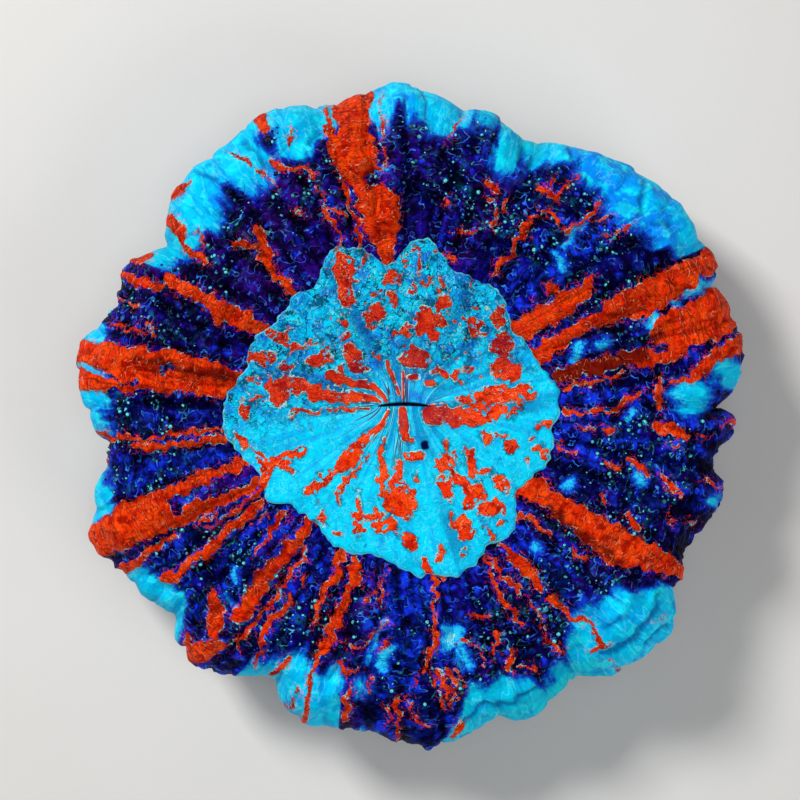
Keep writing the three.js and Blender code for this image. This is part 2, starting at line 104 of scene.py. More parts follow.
# Red bands and threads of the mantle. Each is a run of points: angle, reach, half-width.
RED_BANDS = (
    ((11, 36, 1.3), (12, 42, 1.6), (12, 48, 1.6), (12.2, 55, 1.8)),
    ((358.2, 37, 0.5), (358.6, 42, 0.4), (359, 46.5, 0.5), (360.5, 49, 0.7), (362.5, 52, 0.8), (364, 54, 0.4)),
    ((360, 58.3, 0.9), (364.5, 57.6, 1), (366, 59, 0.5)),
    ((6.5, 37, 0.4), (8, 40, 0.7), (7.4, 43, 0.5), (7.8, 47, 0.5), (8.6, 50.5, 0.4)),
    ((5, 60.5, 0.5), (5.2, 66, 0.6), (8.5, 69, 1.6), (10, 73, 2.1), (10.8, 82, 2.1)),
    ((11, 54, 1.6), (11.2, 59, 2.2), (12.4, 63, 3), (14.6, 66, 3.4)),
    ((15.5, 62.5, 4.4), (15.6, 66, 5.2), (16, 71, 5.2), (17.2, 76, 5), (17.4, 86, 5)),
    ((20.5, 33, 2.6), (22.5, 38, 1.8), (23.8, 42, 1.6), (24, 46, 1.7), (23.5, 50, 2), (24.3, 54, 3),
     (23.8, 58.5, 3.8), (24, 63, 3.4), (24.8, 68, 2.9), (25.3, 73, 2.8), (26, 85, 2.8)),
    ((32.5, 32.5, 2.8), (32.5, 38, 2.4), (32.3, 43, 2.5), (32, 46.5, 2.6), (33, 49.5, 1.6), (34, 52, 0.7)),
    ((36.5, 43.5, 0.8), (39.6, 42.4, 0.7)),
    ((36.6, 38.8, 0.5), (39, 38.6, 0.3)),
    ((38.6, 67, 0.25), (38.3, 62.5, 0.35), (39.5, 59.5, 0.35)),
    ((42, 63.5, 0.3), (43.2, 60.8, 0.4)),
    ((46, 63.5, 0.35), (45.2, 61, 0.35), (46, 56, 0.5), (46.2, 53, 0.4)),
    ((48.5, 54, 0.5), (51, 55.5, 0.6), (53.5, 54, 0.5)),
    ((52.5, 65, 0.35), (53, 60, 0.4), (53.6, 58.5, 0.7), (57, 57.8, 0.6)),
    ((56, 61.5, 0.5), (55.6, 59, 0.5)),
    ((54.3, 36, 0.6), (55, 39, 0.8), (54.6, 43, 0.6), (55.5, 46, 0.8), (54.8, 50, 0.5), (55.6, 54, 0.4)),
    ((61.5, 49.5, 0.5), (62.5, 52, 0.6)),
    ((63, 45.5, 0.5), (63.3, 48, 0.5), (65, 50.2, 0.4), (67.5, 51, 0.4)),
    ((65.5, 53, 0.8), (68.5, 53.8, 0.8)),
    ((66, 43.5, 0.4), (68, 41.8, 0.5), (71, 42, 0.5), (72.5, 41.2, 0.4)),
    ((70, 35, 0.9), (72, 35.2, 0.9)),
    ((76.6, 47, 0.5), (76.9, 47.8, 0.5)),
    ((77.8, 67, 0.3), (79, 63, 0.35), (79.6, 60, 0.3)),
    ((69.5, 68.5, 0.3), (71.5, 69, 0.4)),
    ((94.5, 33.5, 1.8), (95.5, 38, 3), (96, 42, 4.4), (96.3, 45.5, 4.6), (97, 48, 3.2)),
    ((99.5, 50, 2.6), (100, 53.5, 3.8), (100, 57, 4.6), (100.5, 62, 5), (100, 67, 5), (99, 71, 4.6),
     (99, 84, 4.4)),
    ((94.5, 53, 0.5), (96, 54.5, 1)),
    ((93, 54, 0.45), (93.8, 58, 0.35), (93.2, 65, 0.35), (93.4, 70, 0.35)),
    ((103.5, 37, 0.5), (103.2, 42, 0.5), (104, 46, 0.5), (104.5, 52, 0.6), (104.8, 58, 0.5), (105.2, 65, 0.5)),
    ((110, 38, 0.35), (110.2, 44, 0.45), (111.4, 45.5, 0.7), (110.3, 48, 0.45), (110.3, 53, 0.35)),
    ((109.5, 54.5, 0.35), (112.5, 57.5, 0.6), (116, 59, 0.6), (117, 62.5, 0.5)),
    ((106, 44.5, 0.5), (109, 47, 0.4)),
    ((111, 66, 0.3), (112.8, 63.5, 0.4)),
    ((115.6, 69, 1), (116, 73, 1.6), (116, 78, 1.6)),
    ((123.8, 68.5, 0.35), (121.5, 64, 0.4), (119.7, 59, 0.35), (119.6, 56, 0.25)),
    ((116, 47, 0.3), (118, 50, 0.3)),
    ((133.5, 35, 0.9), (132.6, 38, 1), (133.4, 41, 0.8), (132.8, 44.5, 1.4), (130, 46.5, 1.2), (128.4, 50.5, 0.9)),
    ((130, 47.5, 1.3), (133, 48.5, 0.9), (134.2, 51.5, 1), (135.6, 52.5, 0.5)),
    ((133.5, 68, 0.35), (136, 69.5, 0.9), (137.5, 69, 0.5)),
    ((140.5, 66, 1.4), (141.5, 62.5, 1.3), (143, 60, 0.7), (143.4, 57, 0.7), (142.8, 54, 0.7)),
    ((138.6, 59.8, 0.35), (140, 57, 0.35), (142, 55.8, 0.35)),
    ((151, 35, 1.8), (150.8, 39, 2), (150.6, 43, 2.4), (151.5, 46.5, 1.9), (150.8, 50, 1.7), (151.6, 54, 1.6),
     (151, 58, 1.3), (150.2, 60, 1)),
    ((153.5, 45, 0.8), (155.6, 44, 0.5)),
    ((148, 49, 0.4), (149.5, 50, 0.5)),
    ((152.8, 60, 1), (154.2, 63, 1.1), (155.2, 67, 1), (155.6, 71, 0.7)),
    ((148.5, 65.5, 0.8), (151, 68, 0.9)),
    ((159.4, 63, 0.5), (159.2, 67, 0.5)),
    ((161, 59.5, 0.35), (163.8, 57.5, 0.4), (163.6, 62, 0.5), (164, 67, 0.6)),
    ((171.8, 35.5, 3), (172, 40, 3.8), (171.6, 46, 4), (171, 52, 4.6), (171.6, 57, 5), (172, 62, 5),
     (172.4, 68, 5.4), (172.6, 73, 5.6), (172.6, 90, 5.4)),
    ((187.4, 37, 0.5), (187.3, 43, 0.5), (186.6, 52, 0.6), (187, 58, 0.7), (185.8, 64, 0.7), (185, 68, 0.6)),
    ((190, 39.5, 1.2), (190, 44, 1.3), (189.5, 48, 1.2), (189.4, 53, 1.2), (188.8, 58, 1), (188.4, 60.5, 0.7)),
    ((190, 66, 0.4), (190.8, 67.5, 0.4)),
    ((200.3, 35.5, 1), (199.8, 40, 1.4), (199.6, 45, 1.3), (199.6, 50, 1.6), (201, 54, 2)),
    ((207.8, 36.5, 0.9), (207.6, 41, 1.2), (206.6, 46, 1.4), (206.5, 50, 1.8), (206.8, 54, 2)),
    ((203.6, 56.5, 4.6), (203.4, 61, 5), (203.4, 65, 5), (203.6, 70, 4.4), (203.8, 75, 3.6), (204, 90, 3.4)),
    ((209.6, 58, 0.7), (210.2, 64, 0.8), (210.6, 69, 1.2), (210.6, 76, 1)),
    ((210.6, 36.5, 0.8), (211.5, 41, 0.6), (212, 46, 0.5), (212.2, 51, 0.4)),
    ((209.4, 47, 0.5), (210, 52, 0.5)),
    ((214.8, 38, 1), (215, 44, 1.1), (216, 49, 1.2), (217, 53, 1.6), (216.6, 57, 1.1), (217, 60, 0.6),
     (216.4, 64.5, 1.6)),
    ((218, 38, 0.4), (218.6, 43, 0.4)),
    ((223.4, 35, 0.9), (224, 40, 0.8), (224.8, 43.5, 0.5), (226, 46, 0.35)),
    ((231.6, 33, 1.6), (231.8, 38, 1.8), (231.6, 43, 1.7), (231.8, 48, 1.9), (232.4, 53, 2.4),
     (232.8, 57.5, 2.2), (231.8, 59, 1.6)),
    ((225, 59, 0.9), (228, 61.5, 2.2), (230.2, 64, 1.8)),
    ((232.6, 66.5, 1.8), (231.2, 69.5, 2.4), (229.8, 73, 1.8), (229.5, 84, 1.5)),
    ((226.5, 70, 0.6), (228.5, 71, 0.8)),
    ((236, 38, 0.45), (237.6, 40, 0.45), (236.2, 45, 0.5), (237, 50, 0.5), (236.4, 58, 0.4), (235.2, 62, 0.8),
     (236.2, 65, 0.6)),
    ((239.4, 48, 0.5), (240, 52, 0.7), (238.8, 55, 0.8), (239.2, 59, 0.8), (240.3, 63, 0.5), (240.6, 66, 0.5)),
    ((240.5, 44, 0.8), (241.2, 45.5, 0.5)),
    ((244.4, 66, 0.6), (245.2, 63.5, 0.8), (246.3, 61, 0.4)),
    ((248.6, 34.5, 0.8), (249, 39, 0.9), (248.2, 43.5, 0.8), (247.8, 48, 0.9), (247.9, 52, 0.5)),
    ((253.8, 35.5, 0.9), (255.2, 38.5, 1.6), (254.6, 43, 1), (253.8, 47, 1.3), (253, 50, 1.4), (253.4, 54, 1),
     (251.8, 57, 1), (251.6, 61, 0.7), (251.7, 65, 0.5), (252.7, 69, 0.7), (252.6, 72.5, 0.8), (252.8, 76, 0.6)),
    ((248.5, 71, 0.35), (250, 69.5, 0.5), (250.2, 66, 0.35)),
    ((255.6, 54, 0.35), (258, 55, 0.5), (261, 54, 0.4), (264, 51, 0.4), (266.8, 48, 0.3)),
    ((256.6, 58.5, 0.4), (258.8, 60.6, 0.6), (261, 59.5, 0.4)),
    ((259, 37, 0.35), (261.5, 38.5, 0.5), (261.3, 44, 0.6)),
    ((259.6, 61, 0.4), (259.8, 66, 0.6), (260.3, 71, 0.6)),
    ((263.8, 63.5, 0.5), (264.3, 61, 0.4)),
    ((265.6, 55, 0.3), (267, 52.5, 0.6)),
    ((265, 36, 0.3), (264.8, 40, 0.4), (264.6, 44, 0.4)),
    ((267.4, 67, 0.35), (267.8, 71, 0.5)),
    ((269.9, 65, 0.7), (269.4, 66.5, 0.8), (269.3, 76, 0.5)),
    ((272, 66, 0.4), (273.6, 70.5, 0.4), (276, 71.5, 0.6)),
    ((272.8, 60.3, 0.4), (273.6, 62, 0.35)),
    ((277, 60, 0.4), (278.6, 68, 0.5)),
    ((278.3, 59.5, 0.5), (280, 68, 0.5)),
    ((279.8, 59.5, 0.5), (281.2, 66.5, 0.5)),
    ((281.3, 60, 0.35), (282.6, 65, 0.4)),
    ((275.5, 59, 0.7), (277, 56, 0.5), (278.4, 53, 0.6), (279.4, 49, 0.6), (280, 45, 0.5), (281, 40, 0.8),
     (281.8, 38, 0.8)),
    ((283, 38, 0.9), (284.5, 39.5, 1)),
    ((279.4, 74.5, 0.9), (281, 72.5, 1)),
    ((287.8, 61, 0.25), (288.3, 56.5, 0.35), (286, 54.5, 0.25), (284, 54, 0.25)),
    ((289.5, 49.5, 0.6), (292, 50.5, 0.6)),
    ((290.5, 60, 0.35), (292.5, 57, 0.6), (293.6, 54.5, 0.6)),
    ((292.3, 64.2, 0.5), (293.4, 61.6, 0.9), (294.6, 60, 0.6)),
    ((294.5, 64, 0.35), (297, 65.6, 0.5), (297.6, 64.6, 0.4)),
    ((299.6, 38, 0.5), (299.2, 42, 0.35), (297.5, 48, 0.7), (298.8, 53, 0.6), (298.8, 56.5, 0.3)),
    ((301.5, 39, 0.6), (301.2, 43, 0.5), (302.4, 47, 0.8), (303.2, 50, 0.35)),
    ((303.4, 52, 0.35), (303.6, 58, 0.35), (303, 63, 0.4), (304, 66, 0.4)),
    ((306.6, 37, 0.35), (307.2, 42, 1), (307.8, 46, 1.4), (307.4, 49, 1.2), (307.6, 52, 0.5)),
    ((308.6, 54.5, 1), (309.6, 56.8, 0.8), (309.2, 60.3, 0.6), (310.6, 61.5, 0.5), (311.2, 65, 0.5),
     (309.8, 68.5, 0.7), (307.6, 69, 0.5)),
    ((309.8, 68.5, 0.4), (311.4, 69.5, 0.35)),
    ((309.4, 73, 0.35), (309.8, 78, 0.6)),
    ((320.3, 73, 0.35), (321.6, 75.5, 0.35)),
    ((316.4, 36, 0.5), (318, 36.5, 0.8), (319.4, 39, 0.6), (320.2, 42, 0.5), (319.6, 44, 0.4)),
    ((320.4, 51, 0.5), (320.8, 53, 0.6)),
    ((328.5, 32.5, 3), (328.6, 36, 2.6), (328, 41, 2.6), (327.8, 46, 2.9), (327.8, 51, 3.4), (327.6, 55, 4.2),
     (327.6, 58, 4.6), (327.8, 61, 3.4), (328.8, 64, 2.9), (329.4, 68, 2.8), (329.6, 71, 2), (329, 76, 1.2)),
    ((333.5, 60, 0.6), (334.8, 56.5, 0.6)),
    ((335.5, 50.5, 0.7), (335.8, 49, 0.4)),
    ((336.6, 66, 0.4), (338.5, 65, 0.35)),
    ((338.4, 69, 0.35), (338.6, 72, 0.35)),
    ((342.2, 65.5, 0.35), (342.8, 62.5, 0.35)),
    ((343.2, 65, 0.5), (344.4, 62.5, 1), (345.4, 61, 0.6)),
    ((344.6, 57.5, 0.4), (346.2, 54.5, 0.7), (347, 52, 0.5)),
    ((344, 50.5, 0.7), (344.4, 48, 0.5)),
    ((345, 40, 0.5), (345.6, 37.5, 0.4), (346.5, 36, 0.5)),
    ((352.4, 63, 0.4), (352.3, 60.5, 0.35)),
    ((353.8, 65, 0.6), (354.8, 62, 1.3), (355.8, 59, 1.1), (355.4, 57, 0.6)),
    ((354.2, 69, 0.35), (354.9, 67, 0.5)),
    ((353.8, 47.5, 0.9), (354.2, 46, 0.6)),
    ((352.8, 43.5, 0.35), (354, 40.5, 0.35)),
    ((345.6, 74, 0.35), (347, 70, 0.35)),
    ((356.8, 74.5, 0.4), (357.6, 71.5, 0.4)),
)

# Painted shade on the red bands: strips along their sides and grooves where the red is drawn so dark that it looks
# maroon.
SHADED_RED_BANDS = (
    ((11, 36, 1.4), (12, 42, 1.9), (12, 48, 2), (12.5, 55, 2)),
    ((15.2, 60, 1), (14.6, 55, 1)), ((170, 38, 0.9), (169.4, 60, 0.7)), ((98, 50, 1.2), (96.4, 53, 1)),
    ((229.6, 40, 0.5), (230, 56, 0.5)), ((325.4, 40, 0.6), (325, 60, 0.8)), ((132, 46, 0.9), (131, 48, 0.9)),
)

# Dark blue threads that part the red bands.
DARK_THREADS = (
    ((10.4, 66, 0.4), (12, 71, 0.5), (12.8, 80, 0.5)),
    ((172.6, 72, 0.5), (173.2, 67, 0.4), (174.4, 63, 0.35), (174.6, 59, 0.3)),
    ((103, 62, 0.3), (103, 72, 0.35)),
    ((188.2, 55, 0.4), (188.4, 40, 0.4)),
    ((216.4, 60.5, 0.3), (216.2, 62, 0.3)),
)

# Smoother violet inlays beside and inside the red bands.
VIOLET_INLAYS = (
    ((95, 51.5, 1.2), (97.4, 51, 0.9)), ((170.6, 51, 0.5), (171, 53.4, 0.7)),
    ((203.8, 35, 1.7), (203.6, 41, 1.6), (203.8, 48, 1.5)), ((203.2, 53.5, 1.5), (203.8, 54.5, 1.3)),
    ((228, 33, 1), (227.6, 40, 1.3), (228.6, 46, 1)), ((261, 36.5, 1.2), (261.3, 40, 1.3)),
    ((67, 46.5, 2.8), (69, 46.5, 2.4)), ((154, 55, 1), (153.8, 52, 0.8)), ((323, 40, 1), (322.8, 47, 1.4)),
    ((36.8, 40, 1.1), (37, 37, 1)), ((12.4, 60.5, 0.8), (12.6, 58.5, 0.5)), ((38, 33.5, 0.8), (37.6, 35, 0.8)),
)

# Azure and turquoise streaks and puffs among the dark folds, brighter towards their middles; the pale flare at the
# cores of the widest is a painted highlight.
GLOW_SPOTS = (
    ((281.6, 53.4, 2.2), (283, 52, 2.2)), ((284.4, 54, 0.9), (284.6, 60, 0.9)), ((282.8, 60, 0.5), (283.2, 56, 0.6)), ((15.4, 40.5, 1.6), (18.4, 42, 1.2)),
    ((17, 48.5, 1), (17.6, 46, 1)), ((22, 69, 1.3), (21.6, 76, 1.3), (21.4, 84, 1.2)), ((21, 66, 0.9), (22.5, 65, 0.7)),
    ((19, 59.4, 1.7), (19.1, 59.2, 1.7)), ((343, 57, 1), (344.4, 54.5, 0.9)), ((357, 50.5, 1), (359.4, 52.6, 0.8)),
    ((314, 43.6, 1.2), (315, 43.4, 1)), ((335, 41.5, 1.3), (336, 41.6, 1)), ((224.4, 52, 0.8), (227.4, 53.6, 0.7)),
    ((262.8, 57.5, 0.6), (264.6, 52, 0.7), (266, 48, 0.4)), ((228, 62.5, 0.7), (229, 60.5, 0.7)),
    ((232, 57.4, 0.5), (228, 57.6, 0.6)), ((230, 67.6, 0.5), (233.4, 67, 0.5)), ((40, 47.5, 0.8), (44, 48.5, 0.7)),
    ((203.4, 51.4, 0.6), (204.6, 52.2, 0.5)), ((266.5, 58, 1.3), (267.6, 54, 1.2)), ((45.2, 58, 0.7), (45, 51, 0.6)),
    ((98, 53.2, 0.5), (93, 53.4, 0.7)), ((171, 61.4, 0.8), (171.4, 61, 0.7)),
)

# Smooth caps of the margin: angle, reach where the cap begins, and how teal it is, or azure below 0.
CAP_EDGE = np.array([
    [6, 70, 0.4], [9, 90, 0.3], [26, 90, 0.3], [28.5, 70.5, 0.1], [33, 67.5, -0.3], [38, 66, -0.6], [42, 63.5, -0.6],
    [49, 65.4, -0.6], [54, 66, -0.6], [58, 64, -0.2], [62, 61.6, 0.7], [65, 58, 0.7], [68, 56.6, 0.5], [71, 67, 0.6],
    [75, 65, 0.3], [79, 63, 0.1], [82, 60.4, 0], [86, 63.6, 0], [90, 65.6, 0], [93.6, 60.4, 0.1], [97, 66, 0.3],
    [102, 64, 0.4], [106, 62.4, 0.3], [112, 59.4, 0.3], [116, 62, 0.2], [120, 58, 0.3], [125, 58.6, 0.2],
    [128, 61.5, 0.1], [132, 58.8, 0.1], [137, 57.6, 0.3], [141, 56.2, 0.6], [145, 58.6, 0.8], [150, 62.4, 0.7],
    [153, 90, 0.6], [161, 90, 0.4], [165, 67, 0.1], [170, 66, 0.1], [178, 65.6, 0.1], [185, 65.4, 0.3],
    [188, 69, 0.4], [192, 66.6, 0.3], [198, 67.6, 0.3], [207, 90, 0.4], [211, 67.6, 0.3], [217, 64.6, 0.3],
    [222, 65, 0.3], [226, 71, 0.4], [236, 90, 0.4], [240, 66, 0.5], [244, 62.6, 0.4], [247.5, 59.6, 0.2],
    [252, 61.6, 0.1], [258, 64.6, 0.2], [261, 90, 0.2], [263, 72, 0.1], [266, 74.5, 0.1], [270, 90, 0.3],
    [281, 72, 0.7], [283.5, 64.4, 0.5], [288, 65.6, 0.5], [294, 66.6, 0.6], [298, 70, 0.9], [303, 68, 0.9],
    [306.5, 64, 0.5], [310, 61, 0.2], [315, 60.6, 0.1], [319, 63.4, 0.1], [323, 66.5, 0.2], [326, 72, 0.3],
    [329, 90, 0.3], [357, 90, 0.5],
])

# Smooth turquoise knobs that stand apart from the caps: angle, reach, radius.
CAP_KNOBS = ((2.2, 64.6, 3.9), (6.6, 73, 2.4), (343.4, 73, 1.6), (262.2, 62.8, 1.6), (256.6, 62, 2), (67, 60, 3.4))
# Dark hollows in the caps: angle, reach, radius.
CAP_HOLLOWS = ((73.5, 65, 3), (115.6, 66.4, 2.4), (129, 60, 2.2), (93, 61.5, 1), (62.4, 60.5, 1.4), (322, 63, 2))

# Creases in the caps, painted as fold shadows and dented into the relief: angle, reach and half-width at each point.
CAP_CREASES = (
    ((309, 70.5, 0.2), (313, 72, 0.5), (319, 72.3, 0.6), (324.5, 71, 0.3)), ((316, 75, 0.2), (321, 77, 0.3)),
    ((312.5, 66.5, 0.2), (317, 67.6, 0.25)), ((39, 68, 0.2), (42.5, 74, 0.3)), ((54, 66, 0.3), (57, 69.5, 0.3)),
    ((281, 72, 0.3), (286, 69.6, 0.4), (291, 70.6, 0.4), (297, 68.6, 0.2)), ((61.5, 64, 0.3), (62.5, 60.5, 0.5)),
    ((64.4, 64, 0.3), (63.8, 60, 0.4)), ((120.5, 69, 0.3), (118.2, 61, 0.4)), ((106.4, 64.5, 0.5), (109.4, 62, 0.4)),
    ((142.5, 61, 0.2), (139, 59.5, 0.3), (140, 56.6, 0.3), (143.2, 57, 0.2)), ((250.4, 68, 0.3), (248.6, 70.6, 0.2)),
    ((34, 72, 0.2), (36, 68.5, 0.3)), ((131, 69, 0.2), (129, 64.5, 0.4)), ((86, 71, 0.2), (85, 65, 0.3)),
)

# The dark folds around the turn: angle, shares of royal blue and of violet, and how papillate they are.
DARK_TINTS = np.array([
    [3, 0.6, 0.1, 0.15], [9, 0.3, 0.2, 0.3], [15, 0.5, 0.2, 0.7], [22, 0.4, 0.2, 0.5], [33, 0.2, 0.1, 0.7],
    [41, 0.7, 0, 0.9], [50, 0.3, 0.1, 1], [58, 0.1, 0, 1], [67, 0.3, 0.7, 0.6], [74, 0.25, 0.3, 1],
    [85, 0.2, 0.35, 0.9], [92, 0.2, 0.6, 0.4], [104, 0.2, 0.5, 0.8], [114, 0.2, 0.6, 0.9],
    [125, 0.1, 0.75, 0.6], [140, 0.1, 0.75, 0.7], [150, 0.25, 0.6, 0.4], [158, 0.3, 0.3, 0.9],
    [168, 0.3, 0.3, 0.6], [178, 0.25, 0.1, 1], [184, 0.3, 0.1, 0.9], [195, 0.6, 0.05, 1],
    [203, 0.4, 0.5, 0.5], [213, 0.7, 0.1, 0.8], [222, 0.6, 0.1, 1], [228, 0.7, 0.5, 0.9], [240, 0.6, 0.1, 1],
    [250, 0.3, 0.1, 0.9], [257, 0.3, 0.5, 0.5], [261, 0.5, 0.6, 0.3], [267, 0.9, 0, 0.5], [275, 0.7, 0, 0.6],
    [288, 0.4, 0.15, 0.9], [300, 0.3, 0.1, 1], [312, 0.4, 0.1, 1], [322, 0.4, 0.5, 0.8], [333, 0.3, 0.3, 0.9],
    [342, 0.5, 0.1, 1], [352, 0.6, 0.05, 1], [358, 0.6, 0.1, 0.5],
])

# Red blotches of the oral disc: x, y, width and height from the mouth, and tilt.
DISC_BLOTCHES = (
    (-12.5, 29, 5, 13, 8), (-8, 33, 1.2, 4, -30), (4, 33, 1, 4, 0), (-2, 29, 3, 3, 20), (6, 28.5, 2.5, 1.5, 0),
    (9.5, 27.5, 1.5, 3, 20), (3.5, 26, 2, 1.5, 0), (8, 25.5, 1.5, 1.5, 0), (10, 23.5, 3, 4, 30),
    (-1.5, 24, 2.5, 3, -20), (-6, 25.5, 1.5, 1.2, 0), (-6, 20.5, 5, 4.5, 40), (-13, 19, 2, 3, 30),
    (7, 19, 6, 7, 45), (2, 17, 3, 2.5, 20), (-1, 16, 2, 2, 0), (-12, 15.5, 3, 1.2, 10), (-16, 13.8, 1.5, 1.5, 0),
    (12.5, 18.5, 1, 1, 0), (17, 18, 2.5, 6, 10), (22, 20, 3, 6, 20), (23, 13.5, 6, 5, 30), (15.5, 9, 2, 1, 40),
    (14.5, 20.2, 1.3, 1, 0), (3, 11, 7, 4.5, -15), (3, 6.7, 2.5, 1.2, 0), (6.5, 5.3, 2, 1.4, 0), (8, 8.3, 2, 1, 30),
    (10, 7.5, 2.5, 2, 0), (13, 7, 1.5, 3, 20), (24, 8.5, 6, 5, 0), (16, 1.6, 6, 2.2, 4), (22, 2.5, 11, 4.4, 6),
    (27.5, 3.2, 6, 4, 0), (8, -1.6, 6, 4.6, 10), (13, -2.4, 6, 4, 0), (18.5, -1.8, 11, 4, 0), (24.5, -0.6, 5, 2, 10),
    (-28, 16, 5, 2.5, 0), (-24, 14, 6, 2, -15), (-19, 14.6, 2.6, 1.2, 20), (-31, 11.5, 6, 3.5, 0), (-25, 9, 4, 3, -20),
    (-18, 10.5, 5.5, 3.2, 25), (-10.5, 11.5, 5, 2.6, -45), (-9, 8.6, 4, 2, -20), (-27.5, 3, 5, 6, 0),
    (-34.5, -1.5, 2.5, 4, 10), (-33, 2, 3, 1.2, 0), (-33, 6.5, 2.2, 1, 0), (-13.4, 8.6, 2, 3, 0),
    (2.5, -7.5, 1.4, 1.2, 0), (-1, -15, 2.6, 6, 5), (0, -21, 7.5, 7.5, 0), (-6, -24, 5, 2, 0), (-3, -27, 6, 3.2, -10),
    (-9.5, -24, 2, 9, 5), (-13.8, -28.3, 1.5, 1.5, 0), (-17.8, -24.5, 1.1, 4, 20), (2, -30, 3, 3, 30),
    (6, -36, 2.5, 4, 10), (8.7, -33, 1.5, 2.6, 0), (15, -32.7, 1.3, 1, 0), (-27, -12.4, 7, 3, -30),
    (-31, -15, 2.2, 6, 0), (-35, -8, 3.6, 2, 0), (3, -11, 4.5, 2.5, 10), (9.5, -12.5, 4.5, 4.5, 0),
    (10, -18, 2.5, 6, 25), (10, -9, 1.5, 3, 0), (12.5, -11, 1, 2, 0), (4.3, -15.5, 1, 2, 20), (16, -13, 2.6, 7, 10),
    (13, -16.5, 5.5, 3, -20), (16, -20, 4.4, 5.5, 0), (18.5, -14.5, 3, 1.1, -10), (20, -22.5, 5.5, 3.4, 30),
    (23, -22, 1.5, 3, 0), (23, -26, 2, 1.6, 0), (14, -27, 4.6, 6, 30), (11.5, -24, 1.2, 1.2, 0), (19.5, -28, 1, 4, 10),
    (19, -7, 2, 3.2, 20), (22, -6.5, 2.2, 1, 0), (24.5, -8.5, 3, 2.5, 10), (23, -17, 5, 2.2, -35), (32.5, -4, 4, 2, 15),
    (31, -9.5, 2, 1.4, -30), (33, -10.5, 2, 1, -20), (28.5, -12.6, 1.2, 0.8, 0), (30, -7, 1, 0.8, 0),
)

# Red streams that run to the mouth: x, y and half-width at each point.
DISC_STREAMS = (
    ((-29, 5.2, 1.6), (-22, 4.6, 1.5), (-17, 3, 1.5), (-12, 2, 1.1), (-6, 2, 0.7), (-4.4, 1.2, 0.3)),
    ((-16, 6.8, 1.1), (-11, 5.2, 1.1), (-6, 4.6, 0.8), (-3.6, 2.4, 0.5), (-3, 1.2, 0.3)),
    ((-24, -1, 0.5), (-15, -0.8, 0.45), (-7, -0.3, 0.3)),
    ((-3, 10, 0.5), (-1.4, 6, 0.35), (-0.2, 3, 0.25)),
    ((0.7, 8, 0.2), (0.7, 1.6, 0.12)),
    ((-2.6, -0.8, 0.3), (-4, -4, 0.6), (-9, -8, 1.1), (-12, -12, 1.3), (-17, -16, 1.2), (-20, -19, 0.8)),
    ((-8, -11, 0.4), (-10, -14, 0.7), (-13, -18, 0.8), (-14.5, -21, 0.5)),
    ((0.6, -0.6, 0.8), (0.8, -4, 1.2), (1.2, -6.6, 0.9)),
    ((-3.5, -7, 0.3), (-4, -10, 0.5), (-4.3, -15, 0.8), (-4.2, -20, 0.8)),
    ((-36.5, -6.4, 0.3), (-32, -9, 0.35), (-30, -11, 0.5)),
    ((-31.4, -18, 1.2), (-30.4, -14, 1.6), (-26, -11.6, 1.3), (-21.6, -9.6, 0.5)),
)
NAVY_DOT = (5.5, -8.4, 1.1)
MAROON_SPOTS = (
    (8.6, -1.8, 4.6), (4, 11, 3.4), (-25, 9, 2.4), (-8.5, 8.4, 2.4), (0.8, -3.5, 2), (24, 13, 3), (-2, 4, 2),
)


def around(angle: np.ndarray, stops: np.ndarray, values: np.ndarray) -> np.ndarray:
    """Reads values set at stops around the turn, eased between neighbours.

    Args:
        angle: Where to read, in degrees.
        stops: The angles of the values, going round once in order.
        values: One value for each stop.

    Returns:
        The eased value at each angle.
    """
    starts = (stops - stops[0]) % 360
    turn = (angle - stops[0]) % 360
    index = np.searchsorted(starts, turn, side="right") - 1
    ends = np.append(starts[1:], 360)
    share = (turn - starts[index]) / (ends[index] - starts[index])
    eased = (1 - np.cos(share * np.pi)) / 2
    before = values[index]
    return before + (values[(index + 1) % len(values)] - before) * eased


def smooth(value: np.ndarray, low: float, high: float) -> np.ndarray:
    """Rises smoothly from 0 at low to 1 at high."""
    share = np.clip((value - low) / (high - low), 0, 1)
    return share * share * (3 - 2 * share)


def polar(angle: np.ndarray, reach: np.ndarray) -> np.ndarray:
    """Turns angles and reaches about the mouth into plan points."""
    turn = np.radians(angle)
    return np.stack([reach * np.cos(turn), reach * np.sin(turn)], axis=-1)


def flat(plan: np.ndarray) -> np.ndarray:
    """Adds a height of 0 to plan points."""
    return np.column_stack([plan, np.zeros(len(plan))])


def noise_at(points: np.ndarray, size: float) -> np.ndarray:
    """Smooth noise of about -1 to 1 whose features are size across."""
    return np.array([noise.noise(Vector(p)) for p in points / size])


def frayed(plan: np.ndarray, size: float, amount: float) -> np.ndarray:
    """Plan points shifted by noise of a size, so that what is drawn at them gets frayed edges."""
    return plan + amount * np.array([noise.noise_vector(Vector(p))[:2] for p in flat(plan) / size])


def knobs_at(points: np.ndarray, size: float) -> np.ndarray:
    """Rounded knobs set about size apart: 1 on top and 0 between them."""
    apart = np.array([noise.voronoi(Vector(p))[0][0] for p in points / size])
    return np.clip(1 - (apart / 0.62) ** 2, 0, 1)


def ridges_at(angle: np.ndarray, reach: np.ndarray, width: float, length: float) -> np.ndarray:
    """Noise drawn out into radial ridges, about width degrees apart and length millimetres long."""
    turn = np.radians(angle)
    round_about = 57.3 / width
    spots = np.stack([round_about * np.cos(turn), round_about * np.sin(turn), reach / length], axis=-1)
    return np.array([noise.noise(Vector(p)) for p in spots])


